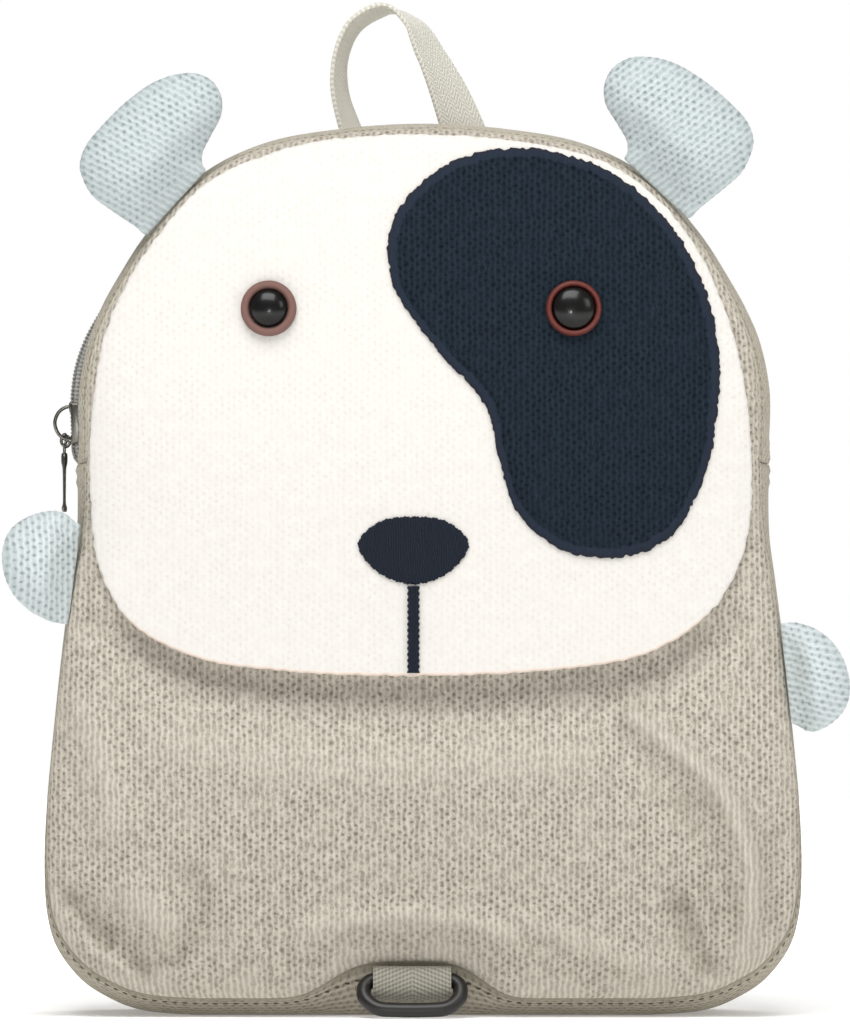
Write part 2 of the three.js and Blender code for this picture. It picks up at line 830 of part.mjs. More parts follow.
// Strap rows in shares of the pad's length down, drift outwards and stand-off from the back
const padRows = [
  { down: 0, drift: 0, off: 0, width: 0.72, thick: 0.45 },
  { down: 0.06, drift: 0.02, off: 0.3, width: 0.86, thick: 0.8 },
  { down: 0.2, drift: 0.14, off: 0.7, width: 0.96, thick: 1 },
  { down: 0.45, drift: 0.42, off: 0.98, width: 1, thick: 1 },
  { down: 0.72, drift: 0.78, off: 1, width: 0.96, thick: 1 },
  { down: 0.92, drift: 0.96, off: 0.86, width: 0.8, thick: 0.9 },
  { down: 1, drift: 1, off: 0.78, width: 0.6, thick: 0.6 },
];
const backFace = halfDepth + clothWall + backPuff;

function padCentre(row, side) {
  return {
    x: side * (padTopAcross + row.drift * padDrift),
    y: backFace + clearance + padThickness / 2 + row.off * padStandOff,
    z: padTopUp - row.down * padLength,
  };
}

function strapPad(side) {
  return sweptBand({
    rows: padRows.map((row) => ({
      ...padCentre(row, side),
      width: row.width * padWidth,
      thick: row.thick * padThickness,
    })),
    sides: 8,
    steps: 14,
    roundness: 0.6,
    acrossAt: () => new THREE.Vector3(1, 0, 0),
  });
}

// Webbing from the pad's lower end to the back panel's lower corner
function strapWeb(side) {
  const start = padCentre(padRows[padRows.length - 1], side);
  const end = {
    x: side * webLowAcross,
    y: backDepth(webLowAcross, webLowUp) + clearance + webThickness,
    z: webLowUp,
  };
  const seat = clearance + webThickness / 2;
  const rows = [0, 0.3, 0.6, 0.85, 1].map((share) => ({
    x: mix(start.x, end.x, share ** 1.2),
    y: mix(start.y, end.y, share) + webBow * Math.sin(Math.PI * share) * (1 - share),
    z: mix(start.z - seat - padThickness * 0.1, end.z, share),
    width: webWidth,
    thick: webThickness,
  }));
  return sweptBand({
    rows,
    sides: 4,
    steps: 12,
    roundness: 0,
    acrossAt: () => new THREE.Vector3(1, 0, 0),
  });
}

// Slider and pull near the zip's lower left end, drawn at the origin with +X away from the bag
const sliderShare = 1 - shareAtHeight(sliderHeightOnBag);
const sliderSeat = 2 * clearance + coilHeight - zipSink;

function placedOnZip(geometry) {
  const outward = outlineOutward(sliderShare);
  const seat = gussetPoint(sliderShare, zipBack).addScaledVector(outward, sliderSeat);
  const turn = Math.atan2(outward.z, outward.x);
  return geometry.clone().rotateY(-turn).translate(seat.x, seat.y, seat.z);
}

function plate(shape, depth, segments) {
  const geometry = new THREE.ExtrudeGeometry(shape, { depth, bevelEnabled: false, curveSegments: segments });
  return closedBody(geometry);
}

// The bail's hole starts above the slider's top, so that the pull's wire lies clear of both
function zipSlider() {
  const body = new THREE.Shape();
  body.absellipse(0, 0, sliderLength / 2, sliderWidth / 2, 0, 2 * Math.PI);
  const top = plate(body, sliderWall, 8).rotateY(Math.PI / 2);
  const bail = new THREE.Shape();
  bail.moveTo(-bailLength / 2, -sliderWall / 2);
  bail.lineTo(-bailLength / 2, bailReach);
  bail.lineTo(bailLength / 2, bailReach);
  bail.lineTo(bailLength / 2, -sliderWall / 2);
  bail.closePath();
  const hole = new THREE.Path();
  hole.moveTo(-bailLength / 2 + bailWire, bailFoot);
  hole.lineTo(bailLength / 2 - bailWire, bailFoot);
  hole.lineTo(bailLength / 2 - bailWire, bailReach - bailWire);
  hole.lineTo(-bailLength / 2 + bailWire, bailReach - bailWire);
  hole.closePath();
  bail.holes.push(hole);
  const bridge = plate(bail, bailWire, 1)
    .translate(0, 0, -bailWire / 2)
    .rotateX(Math.PI / 2)
    .rotateY(Math.PI / 2)
    .translate(sliderWall, 0, 0);
  return placedOnZip(joined(top, bridge));
}

function zipPull() {
  const ring = closedBody(new THREE.TorusGeometry(pullRingRadius, pullWire, 6, 16));
  ring.rotateY(Math.PI / 2);
  const neck = closedBody(new THREE.CylinderGeometry(pullWall / 2, pullWall / 2, pullNeck, 8));
  neck.rotateX(Math.PI / 2).translate(0, 0, -pullRingRadius - pullNeck / 2 + 0.2);
  const tab = new THREE.Shape();
  tab.moveTo(-pullWidth * 0.3, 0);
  tab.lineTo(pullWidth * 0.3, 0);
  tab.lineTo(pullWidth * 0.36, -pullLength * 0.6);
  tab.lineTo(pullWidth / 2, -pullLength * 0.85);
  tab.absarc(0, -pullLength * 0.85, pullWidth / 2, 0, -Math.PI, true);
  tab.closePath();
  const leaf = plate(tab, pullWall, 8)
    .translate(0, 0, -pullWall / 2)
    .rotateX(Math.PI / 2)
    .rotateZ(Math.PI / 2)
    .translate(0, 0, -pullRingRadius - pullNeck + 0.4);
  return joined(ring, neck, leaf);
}

// The pull hangs straight down from the bail, its ring passing through the bail's hole
function placedPull() {
  const outward = outlineOutward(sliderShare);
  const reach = sliderSeat + sliderWall + (bailReach - bailWire + bailFoot) / 2;
  const hole = gussetPoint(sliderShare, zipBack).addScaledVector(outward, reach);
  const lower = bailLength / 2 - bailWire - pullWire - clearance;
  hole.z -= pullRingRadius - pullWire + lower;
  return zipPull().rotateZ(radians(pullTurn)).translate(hole.x, hole.y, hole.z);
}

const heather = { color: 0xc3bcac, roughness: 0.95 };
const white = { color: 0xfaf7f0, roughness: 0.95 };
const navy = { color: 0x232b37, roughness: 0.95 };
const paleBlue = { color: 0xc6d4d8, roughness: 0.95 };
const webbing = { color: 0xd6d3c7, roughness: 0.9 };
const tabWebbing = { color: 0xa09e91, roughness: 0.9 };
const tapeGrey = { color: 0x828282, roughness: 0.85 };
const gunmetal = { color: 0x5a5850, roughness: 0.35, metalness: 1 };
const brown = { color: 0x7d5f58, roughness: 0.5 };
const reddish = { color: 0x6e372f, roughness: 0.45 };
const glossBlack = { color: 0x14160f, roughness: 0.08 };
const charcoal = { color: 0x3c3835, roughness: 0.5 };

const bag = new THREE.Group();

function add(name, geometry, finish) {
  const mesh = new THREE.Mesh(geometry, new THREE.MeshStandardMaterial(finish));
  mesh.name = name;
  bag.add(mesh);
}

const onPatch = (x, z) => onFlap(x, z) - patchWall - clearance;

add('front_panel', panel(frontSeam, frontRise, 58, 9, 6), heather);
add('back_panel', panel(backSeam, backRise, 48, 4, 3), heather);
add('gusset_lower', gussetLower(), heather);
add('gusset_top_front', gussetTopFront(), heather);
add('gusset_top_back', gussetTopBack(), heather);
add('zip_tape', zipTape(), tapeGrey);
add('zip_coil', zipCoil(), tapeGrey);
add('zip_slider', zipSlider(), gunmetal);
add('zip_pull', placedPull(), gunmetal);
add('face_flap', faceFlap(), white);
add('eye_patch', eyePatch(), navy);
add('nose', nose(), navy);
add('mouth_line', mouthLine(), navy);
const eyes = [
  { name: 'left', across: -eyeApart / 2 - eyeShift, pupil: leftPupilDiameter, seat: onFlap, rim: brown },
  { name: 'right', across: eyeApart / 2 - eyeShift, pupil: rightPupilDiameter, seat: onPatch, rim: reddish },
];
for (const { name, across, pupil, seat, rim } of eyes) {
  add(`eye_rim_${name}`, standOnFace(eyeRim(pupil), across, eyeUp, seat), rim);
  add(`eye_pupil_${name}`, standOnFace(eyePupil(pupil), across, eyeUp, seat), glossBlack);
}
add('handle', handle(), webbing);
add('ring_tab', ringTab(), tabWebbing);
add('leash_ring', leashRing(), charcoal);
for (const [name, side] of [['left', -1], ['right', 1]]) {
  add(`ear_${name}`, ear(side), paleBlue);
  add(`arm_${name}`, arm(side), paleBlue);
  add(`strap_pad_${name}`, strapPad(side), heather);
  add(`strap_web_${name}`, strapWeb(side), webbing);
}

export default bag;
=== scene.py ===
import math
from functools import partial

import bmesh
import bpy
import numpy as np
from mathutils import Matrix, Vector


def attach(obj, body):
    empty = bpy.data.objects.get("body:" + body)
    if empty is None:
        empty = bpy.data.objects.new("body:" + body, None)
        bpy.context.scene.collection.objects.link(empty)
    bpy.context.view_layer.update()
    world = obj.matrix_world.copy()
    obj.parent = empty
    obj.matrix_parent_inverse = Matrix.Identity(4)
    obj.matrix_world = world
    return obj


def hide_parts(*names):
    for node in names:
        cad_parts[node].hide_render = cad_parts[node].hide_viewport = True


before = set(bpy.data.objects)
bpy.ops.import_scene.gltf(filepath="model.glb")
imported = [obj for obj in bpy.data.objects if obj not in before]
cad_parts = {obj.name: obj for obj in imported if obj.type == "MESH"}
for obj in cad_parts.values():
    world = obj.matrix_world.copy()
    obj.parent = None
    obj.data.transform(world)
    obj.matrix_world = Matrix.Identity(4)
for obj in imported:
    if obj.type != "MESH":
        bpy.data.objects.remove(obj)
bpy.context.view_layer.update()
scene = bpy.context.scene
chance = np.random.default_rng(7)
print("frame loaded:", len(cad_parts), "nodes")

# Shape of the bag, in millimetres, as in the CAD part
bag = {"height": 280, "width": 238, "depth": 72, "round": 18, "wall": 2.6, "puff": 15,
       "backPuff": 5, "clearance": 0.3, "shoulderUp": 0.7, "shoulderSpread": 0.2, "sideSeam": 173}
tabPlace = {"across": -3.4, "liftLeft": 28, "liftRight": 24}
halfWidth = bag["width"] / 2
halfDepth = bag["depth"] / 2
centreUp = 0.46 * bag["height"]
frontSeam = {"side": 1.5, "shoulder": 3, "low": 6, "top": 2.5, "lift": 11.5}
backSeam = {"side": 1.5, "shoulder": 0, "low": 4, "top": 2.5, "lift": 0}
# The outline's right half, as shares of the height and of half the width
outlineRows = [
    (0, 0), (0, 0.34), (0, 0.6), (0.0067, 0.755), (0.0223, 0.842), (0.0402, 0.903), (0.0759, 0.967),
    (0.1116, 0.992), (0.165, 1), (0.2366, 0.993), (0.308, 0.978), (0.42, 0.95), (0.487, 0.93),
    (0.54, 0.914), (0.63, 0.913), (0.7, 0.915), (0.754, 0.89), (0.79, 0.855), (0.826, 0.808),
    (0.88, 0.725), (0.943, 0.585), (0.978, 0.42), (0.994, 0.22), (1, 0),
]


def bell(distance, spread):
    return np.exp(-((distance / spread) ** 2))


def flatBell(distance, spread):
    return np.exp(-((distance / spread) ** 4))


def rampUp(value, low, high):
    share = np.clip((value - low) / (high - low), 0, 1)
    return share * share * (3 - 2 * share)


def smoothLine(points, closed=True, fine=40):
    points = np.asarray(points, float)
    if closed:
        padded = np.vstack([points[-1:], points, points[:2]])
    else:
        padded = np.vstack([2 * points[0] - points[1], points, 2 * points[-1] - points[-2]])
    step = np.linspace(0, 1, fine, endpoint=False)[:, None]
    parts = []
    for p0, p1, p2, p3 in zip(padded, padded[1:], padded[2:], padded[3:]):
        d0, d1, d2 = (max(np.linalg.norm(b - a) ** 0.5, 1e-3) for a, b in ((p0, p1), (p1, p2), (p2, p3)))
        m1 = ((p1 - p0) / d0 - (p2 - p0) / (d0 + d1) + (p2 - p1) / d1) * d1
        m2 = ((p2 - p1) / d1 - (p3 - p1) / (d1 + d2) + (p3 - p2) / d2) * d1
        parts.append((2 * p1 - 2 * p2 + m1 + m2) * step ** 3 + (3 * p2 - 3 * p1 - 2 * m1 - m2) * step ** 2
                     + m1 * step + p1)
    parts.append(points[:1] if closed else points[-1:])
    return np.vstack(parts)


def lineLength(line):
    return np.concatenate([[0], np.cumsum(np.linalg.norm(np.diff(line, axis=0), axis=1))])


def evenLine(line, count):
    along = lineLength(line)
    wanted = np.linspace(0, along[-1], count + 1)
    return np.column_stack([np.interp(wanted, along, line[:, k]) for k in range(line.shape[1])])


def unit(rows):
    return rows / np.linalg.norm(rows, axis=1)[:, None]


def loopDirections(line):
    return unit(np.gradient(np.vstack([line[-2:-1], line, line[1:2]]), axis=0)[1:-1])


# The silhouette by its share of the way round, from the base centre towards +X
rightHalf = [(out * halfWidth, up * bag["height"]) for up, out in outlineRows]
leftHalf = [(-x, z) for x, z in rightHalf[1:-1]][::-1]
silhouette = evenLine(smoothLine(rightHalf + leftHalf), 4000)
silhouette[:, 1] = np.maximum(silhouette[:, 1], 0)
roundShares = np.linspace(0, 1, 4001)
roundLength = lineLength(silhouette)[-1]
turning = loopDirections(silhouette)


def roundAt(share, pair):
    return [np.interp(np.mod(share, 1), roundShares, pair[:, k]) for k in (0, 1)]


def outlineAt(share):
    return roundAt(share, silhouette)


def outwardAt(share):
    along, up = roundAt(share, turning)
    return up, -along


def shareAtHeight(height):
    rising = slice(80, 2001)  # the right half, without its flat start on the floor
    return float(np.interp(height, silhouette[rising, 1], roundShares[rising]))


def seamAt(share, seam):
    x, z = outlineAt(share)
    shoulder = bell(z - bag["shoulderUp"] * bag["height"], bag["shoulderSpread"] * bag["height"])
    inset = seam["side"] + seam["shoulder"] * shoulder
    x = x * (1 - inset / halfWidth)
    up = seam["low"] + (bag["height"] - seam["top"] - seam["low"]) * z / bag["height"]
    fromTab = x - tabPlace["across"]
    spread = np.where(fromTab < 0, tabPlace["liftLeft"], tabPlace["liftRight"])
    return x, up + seam["lift"] * flatBell(fromTab, spread) * bell(z, seam["low"] * 4)


def seamTable(seam):
    x, z = seamAt(np.linspace(0, 1, 1200, endpoint=False), seam)
    angle = np.arctan2(z - centreUp, x)
    order = np.argsort(angle)
    return angle[order], np.hypot(x, z - centreUp)[order]


frontTable = seamTable(frontSeam)
backTable = seamTable(backSeam)


def seamReach(table, x, z):
    return np.interp(np.arctan2(z - centreUp, x), table[0], table[1], period=2 * np.pi)


def shareOnPanel(table, x, z):
    return np.hypot(x, z - centreUp) / seamReach(table, x, z)


def dome(share):
    return (1 - np.minimum(share, 1) ** 3) ** 0.6


# Soft folds: place across and up as shares, direction in degrees, reach, spread and height
foldRows = [
    (0.81, 0.17, -74, 30, 8, 3.2), (0.7, 0.1, -80, 20, 8, -2.6), (-0.83, 0.1, 64, 18, 7, -2.4),
    (-0.62, 0.09, 70, 16, 8, -2), (-0.86, 0.4, 74, 26, 9, 2), (0, 0.26, 0, 90, 34, 3),
]


def frontRise(x, z):
    share = np.minimum(shareOnPanel(frontTable, x, z), 1)
    rise = 0
    for across, up, turn, reach, spread, height in foldRows:
        dx, dz = x - across * halfWidth, z - up * bag["height"]
        turn = math.radians(turn)
        along = dx * math.cos(turn) + dz * math.sin(turn)
        side = dz * math.cos(turn) - dx * math.sin(turn)
        rise = rise + height * bell(along, reach) * bell(side, spread)
    puff = bag["puff"] * (1.05 - 0.25 * z / bag["height"]) * dome(share)
    return bag["wall"] + puff + rise * np.minimum(1, 8 * (1 - share))


def frontDepth(x, z):
    return -(halfDepth + frontRise(x, z))


def backDepth(x, z):
    return halfDepth + bag["wall"] + bag["backPuff"] * dome(shareOnPanel(backTable, x, z))


def gussetAt(share, depth):
    frontX, frontZ = seamAt(share, frontSeam)
    backX, backZ = seamAt(share, backSeam)
    swell = np.sin(np.pi / 2 * np.clip((halfDepth - np.abs(depth)) / bag["round"], 0, 1))
    x, z = outlineAt(share)
    edgeX = np.where(depth < 0, frontX, backX)
    edgeZ = np.where(depth < 0, frontZ, backZ)
    return edgeX + (x - edgeX) * swell, edgeZ + (z - edgeZ) * swell


# Building: a flat grid whose points are moved to a place given by their column and row.
# It closes on itself, unless it is told which way an open sheet faces
def gridPiece(name, columns, rows, place, facing=None, marks=()):
    work = bmesh.new()
    bmesh.ops.create_grid(work, x_segments=columns, y_segments=rows, size=0.5)
    mesh = bpy.data.meshes.new(name)
    work.to_mesh(mesh)
    flat = np.empty(len(mesh.vertices) * 3)
    mesh.vertices.foreach_get("co", flat)
    column = np.rint((flat[0::3] + 0.5) * columns).astype(int)
    row = np.rint((flat[1::3] + 0.5) * rows).astype(int)
    points, knit, values = place(column, row)
    mesh.vertices.foreach_set("co", (np.column_stack(points) * 0.001).ravel())
    corners = np.empty(len(mesh.loops), int)
    mesh.loops.foreach_get("vertex_index", corners)
    knit = np.column_stack(np.broadcast_arrays(*knit))
    mesh.uv_layers.new(name="knit").data.foreach_set("uv", knit[corners].ravel())
    for mark, value in zip(marks, values):
        layer = mesh.attributes.new(mark, "FLOAT", "POINT")
        layer.data.foreach_set("value", np.asarray(value, float))
    work.clear()
    work.from_mesh(mesh)
    bmesh.ops.remove_doubles(work, verts=work.verts, dist=2e-6)
    bmesh.ops.dissolve_degenerate(work, edges=work.edges, dist=1e-6)
    if facing:
        lean = sum((face.normal * face.calc_area() for face in work.faces), Vector())
        if lean.dot(Vector(facing)) < 0:
            bmesh.ops.reverse_faces(work, faces=work.faces)
    else:
        bmesh.ops.recalc_face_normals(work, faces=work.faces)
    return addPiece(name, work, mesh)


def addPiece(name, work, mesh=None):
    mesh = mesh or bpy.data.meshes.new(name)
    for face in work.faces:
        face.smooth = True
    work.to_mesh(mesh)
    work.free()
    piece = bpy.data.objects.new(name, mesh)
    scene.collection.objects.link(piece)
    return piece


def settle(piece, material, nodeName=None):
    piece.data.materials.clear()
    piece.data.materials.append(material)
    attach(piece, "root")
    if nodeName:
        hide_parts(nodeName)


# Flat work sewn on the face: an outline filled from its middle, with a rolled edge. Every row of the
# grid lies at an offset from the outline, or at a share of the way from there to the middle.
# Above rimUpTo the edge has no tinted rim
def overlayPiece(name, outline, middle, seatAt, spec, reliefAt=None):
    columns, wall = spec["columns"], spec["wall"]
    edge = evenLine(outline, columns)[:-1]
    arm = np.array(middle) - edge
    loose = chance.normal(0, spec["ragged"], columns)
    loose = (np.roll(loose, 1) + loose * 3 + np.roll(loose, -1)) / 5
    edge = edge + unit(arm) * loose[:, None]
    arm = np.array(middle) - edge
    reach = np.linalg.norm(arm, axis=1)
    half = wall / 2
    start = half * spec["roll"]
    over, under = np.ones(spec["rows"]), np.ones(spec["underRows"])
    turns = np.radians(np.linspace(90, -90, spec["rollRows"]))
    shares = np.concatenate([1 - np.arange(len(over)) / len(over), 0 * turns, under.cumsum() / len(under)])
    offsets = start * np.concatenate([over, 1 - np.cos(turns), under])
    heights = np.concatenate([over * wall, half + half * np.sin(turns), 0 * under])

    def place(column, row):
        around = column % columns
        into = offsets[row] + (reach[around] - start) * shares[row]
        height = heights[row]
        point = edge[around] + arm[around] * (into / reach[around])[:, None]
        x, z = point[:, 0], point[:, 1]
        if reliefAt:
            top = (height > half) * rampUp(into, 0.2, 1.2)
            height = height + reliefAt(x, z, into) * top
        inside = into + 6 * rampUp(z, *spec["rimUpTo"]) if "rimUpTo" in spec else into
        return (x, seatAt(x, z) - height + spec["sink"], z), (x, z), (inside,)

    return gridPiece(name, columns, len(shares) - 1, place, marks=("inside",))


# Colours and materials
def tone(red, green, blue):
    return tuple(((c / 255 + 0.055) / 1.055) ** 2.4 for c in (red, green, blue)) + (1,)


def node(tree, kind, inputs=(), output=0, **settings):
    made = tree.nodes.new("ShaderNode" + kind)
    for key, value in settings.items():
        setattr(made, key, value)
    for socket, value in inputs:
        if isinstance(value, bpy.types.NodeSocket):
            tree.links.new(value, made.inputs[socket])
        else:
            made.inputs[socket].default_value = value
    return made.outputs[output]


def calc(tree, operation, *values):
    return node(tree, "Math", list(enumerate(values)), operation=operation)


def blendTone(tree, factor, first, second):
    return node(tree, "Mix", [(0, factor), (6, first), (7, second)], output=2, data_type="RGBA")


def ramp(tree, value, low, high, least=0, most=1):
    return node(tree, "MapRange", [(0, value), (1, low), (2, high), (3, least), (4, most)],
                interpolation_type="SMOOTHSTEP")


def toolsFor(tree):
    times, plus = partial(calc, tree, "MULTIPLY"), partial(calc, tree, "ADD")
    return partial(node, tree), partial(calc, tree), times, plus, partial(blendTone, tree)


def noise(tree, place, scale, detail=2, roughness=0.5, output=0):
    inputs = [("Vector", place), ("Scale", scale), ("Detail", detail), ("Roughness", roughness)]
    return node(tree, "TexNoise", inputs, output)


def startMaterial(name, **constants):
    material = bpy.data.materials.new(name)
    material.use_nodes = True
    tree = material.node_tree
    shader = tree.nodes["Principled BSDF"]
    for socket, value in constants.items():
        shader.inputs[socket.replace("_", " ")].default_value = value
    return material, tree, shader


def finishSurface(tree, shader, colour, height, distance):
    tree.links.new(colour, shader.inputs["Base Color"])
    bump = node(tree, "Bump", [("Strength", 1), ("Distance", distance), ("Height", height)])
    tree.links.new(bump, shader.inputs["Normal"])


# Knitted cloth: soft holes in half-drop order between waving strands, with a mottled yarn
def knitMaterial(name, spec):
    material, tree, shader = startMaterial(
        name, Roughness=0.95, Sheen_Weight=spec["sheen"], Sheen_Roughness=0.5, Specular_IOR_Level=0.15)
    shader.inputs["Sheen Tint"].default_value = spec["strand"]
    make, maths, times, plus, blend = toolsFor(tree)
    flat = make("UVMap", uv_map="knit")
    drift = noise(tree, flat, 0.22, output=1)
    moved = make("VectorMath", [(0, drift), (1, (0.5, 0.5, 0.5))], operation="SUBTRACT")
    moved = make("VectorMath", [(0, moved), ("Scale", spec["wobble"])], operation="SCALE")
    moved = make("VectorMath", [(0, flat), (1, moved)], operation="ADD")
    split = make("SeparateXYZ", [(0, moved)])
    across, up = split, split.node.outputs[1]
    halfTurn = times(across, math.pi / spec["pitch"])
    course = maths("COSINE", times(up, 2 * math.pi / spec["rise"]))
    stagger = times(maths("COSINE", halfTurn), course)
    groove = maths("MULTIPLY_ADD", maths("COSINE", times(halfTurn, 2)), 0.5, 0.5)
    waving = times(times(maths("SINE", halfTurn), course), -spec["wave"])
    waved = plus(halfTurn, times(waving, math.pi / spec["pitch"]))
    strand = maths("MULTIPLY_ADD", maths("COSINE", times(waved, 2)), -0.5, 0.5)
    uneven = noise(tree, moved, 0.8)
    uneven = times(maths("SUBTRACT", uneven, 0.5), spec["uneven"])
    narrow = maths("POWER", groove, 1.7)
    hole = times(ramp(tree, plus(stagger, uneven), 0.05, 0.95), narrow)
    worn = noise(tree, flat, 0.09)
    hole = times(hole, ramp(tree, worn, 0.3, 0.62, 0.45, 1.1))
    deep = times(groove, spec["grooveMix"])
    if spec.get("fade"):
        gatherAndHighlight = make("Attribute", [], output=2, attribute_name=spec["fade"])
        hole = times(hole, maths("SUBTRACT", 1, times(gatherAndHighlight, 0.85)))
        deep = maths("MULTIPLY_ADD", times(gatherAndHighlight, groove), 0.18, deep)
    fibre = noise(tree, moved, 2.6, 3, 0.7)
    mottle = noise(tree, flat, 0.3, 4, 0.65)
    shade = plus(times(fibre, 0.5), times(mottle, 0.5))
    yarn = blend(ramp(tree, shade, 0.38, 0.62), spec["dark"], spec["strand"])
    bright = times(maths("POWER", strand, 4), spec["ribMix"])
    yarn = blend(bright, yarn, spec["light"])
    # Painted highlight: the gather mark also blends the yarn towards its light tone, lighter on gathered
    # cloth and along the crests of rising creases
    if spec.get("fade"):
        yarn = blend(times(gatherAndHighlight, 0.4), yarn, spec["light"])
    yarn = blend(deep, yarn, spec["hole"])
    colour = blend(times(hole, spec["holeMix"]), yarn, spec["hole"])
    # Painted shade in the seam: the seam mark blends the cloth towards the dark seam tone
    if spec.get("seam"):
        paintedSeamShade = make("Attribute", [], output=2, attribute_name="seam")
        colour = blend(times(paintedSeamShade, 0.75), colour, spec["seam"])
    if spec.get("band"):
        inside = make("Attribute", [], output=2, attribute_name="inside")
        band = ramp(tree, inside, spec["bandWide"] + 0.3, spec["bandWide"] - 0.3)
        colour = blend(times(band, spec["bandMix"]), colour, spec["band"])
        hole = times(hole, maths("SUBTRACT", 1, times(band, 0.9)))
        rimShade = ramp(tree, inside, 1.3, 0.2)
        colour = blend(times(rimShade, spec["rimMix"]), colour, spec["rim"])
    height = plus(times(strand, 0.45), times(fibre, 0.4))
    height = maths("SUBTRACT", height, times(hole, 0.9))
    finishSurface(tree, shader, colour, height, spec["bump"])
    return material


bodyKnit = knitMaterial("bodyKnit", {
    "light": tone(208, 201, 188), "strand": tone(194, 187, 174), "dark": tone(150, 143, 131),
    "hole": tone(90, 84, 74), "pitch": 1.92, "rise": 2.6, "wave": 0.22, "wobble": 2.2, "uneven": 2.2,
    "grooveMix": 0.08, "holeMix": 0.57, "ribMix": 0.45, "bump": 0.00026, "sheen": 0.1, "fade": "gather",
})
# The gusset's seam tone is painted shade, laid along the front seam
gussetKnit = knitMaterial("gussetKnit", {
    "light": tone(204, 197, 182), "strand": tone(190, 183, 168), "dark": tone(164, 157, 142),
    "hole": tone(112, 106, 92), "seam": tone(124, 117, 101), "pitch": 1.92, "rise": 2.6, "wave": 0.3,
    "wobble": 1.5, "uneven": 1.5, "grooveMix": 0.2, "holeMix": 0.45, "ribMix": 0.5, "bump": 0.0004,
    "sheen": 0.1,
})
faceKnit = knitMaterial("faceKnit", {
    "light": tone(217, 214, 209), "strand": tone(214, 211, 206), "dark": tone(209, 205, 199),
    "hole": tone(165, 160, 150), "pitch": 1.9, "rise": 2.6, "wave": 0.25, "wobble": 1.8, "uneven": 2.6,
    "grooveMix": 0, "holeMix": 0.12, "ribMix": 0.2, "bump": 0.00008, "sheen": 0.03,
    "band": tone(226, 210, 198), "bandWide": 1, "bandMix": 0.75, "rim": tone(206, 188, 174), "rimMix": 0.5,
})
navyKnit = knitMaterial("navyKnit", {
    "light": tone(37, 49, 60), "strand": tone(27, 38, 48), "dark": tone(17, 26, 35),
    "hole": tone(7, 12, 18), "pitch": 1.8, "rise": 2.6, "wave": 0.28, "wobble": 2.2, "uneven": 2.4,
    "grooveMix": 0.16, "holeMix": 0.75, "ribMix": 0.35, "bump": 0.0003, "sheen": 0.06,
    "band": tone(36, 44, 57), "bandWide": 3, "bandMix": 0.75, "rim": tone(40, 38, 46), "rimMix": 0.7,
})
# Blue knit for the ears and arms. The ears take these tones and the arms a lighter copy: painted shade on
# the ears, making up for the key light falling more on them from above
blue = {
    "light": tone(197, 205, 205), "strand": tone(182, 190, 191), "dark": tone(167, 177, 178),
    "hole": tone(115, 128, 134), "pitch": 1.95, "rise": 2.6, "wave": 0.28, "wobble": 1.6, "uneven": 2,
    "grooveMix": 0.08, "holeMix": 0.6, "ribMix": 0.6, "bump": 0.0003, "sheen": 0.1, "fade": "gather",
}
shadedEarKnit = knitMaterial("shadedEarKnit", blue)
armKnit = knitMaterial("armKnit", {
    **blue, "light": tone(209, 216, 216), "strand": tone(195, 203, 203), "dark": tone(179, 189, 190),
})


# Woven band: floats over and under in a slanted order
def wovenMaterial(name, spec):
    material, tree, shader = startMaterial(name, Roughness=0.9, Sheen_Weight=0.1, Specular_IOR_Level=0.25)
    make, maths, times, plus, blend = toolsFor(tree)
    flat = make("UVMap", uv_map="knit")
    split = make("SeparateXYZ", [(0, flat)])
    across, along = split, split.node.outputs[1]
    slant = maths("PINGPONG", across, spec["herring"])
    slanted = plus(along, times(slant, spec["slope"]))
    warp = maths("SINE", times(slanted, 2 * math.pi / spec["weft"]))
    weft = maths("COSINE", times(across, 2 * math.pi / spec["warp"]))
    height = plus(plus(times(warp, 0.3), times(weft, 0.2)), 0.5)
    fibre = noise(tree, flat, 1.6)
    mixed = plus(times(height, 0.7), times(fibre, 0.3))
    colour = blend(ramp(tree, mixed, 0.2, 0.75), spec["dark"], spec["light"])
    finishSurface(tree, shader, colour, mixed, spec["bump"])
    return material


webbingCloth = wovenMaterial("webbingCloth", {
    "light": tone(214, 211, 200), "dark": tone(186, 183, 171), "herring": 3, "slope": 0.9,
    "weft": 1.6, "warp": 1.2, "bump": 0.00022,
})
tabCloth = wovenMaterial("tabCloth", {
    "light": tone(160, 157, 145), "dark": tone(122, 119, 107), "herring": 60, "slope": 0.4,
    "weft": 1.3, "warp": 1.1, "bump": 0.0003,
})
tapeCloth = wovenMaterial("tapeCloth", {
    "light": tone(156, 155, 152), "dark": tone(104, 103, 100), "herring": 40, "slope": 0.05,
    "weft": 1.3, "warp": 2.4, "bump": 0.0004,
})


def threadMaterial(name, light, dark, run, bump):
    material, tree, shader = startMaterial(name, Roughness=0.75, Sheen_Weight=0.05, Specular_IOR_Level=0.2)
    make, maths, times, plus, blend = toolsFor(tree)
    flat = make("UVMap", uv_map="knit")
    rough = noise(tree, flat, 0.5)
    split = make("SeparateXYZ", [(0, flat)])
    lines = plus(split.node.outputs[0], times(rough, 1.5))
    lines = maths("MULTIPLY_ADD", maths("SINE", times(lines, 2 * math.pi / run)), 0.5, 0.5)
    finishSurface(tree, shader, blend(lines, dark, light), lines, bump)
    return material


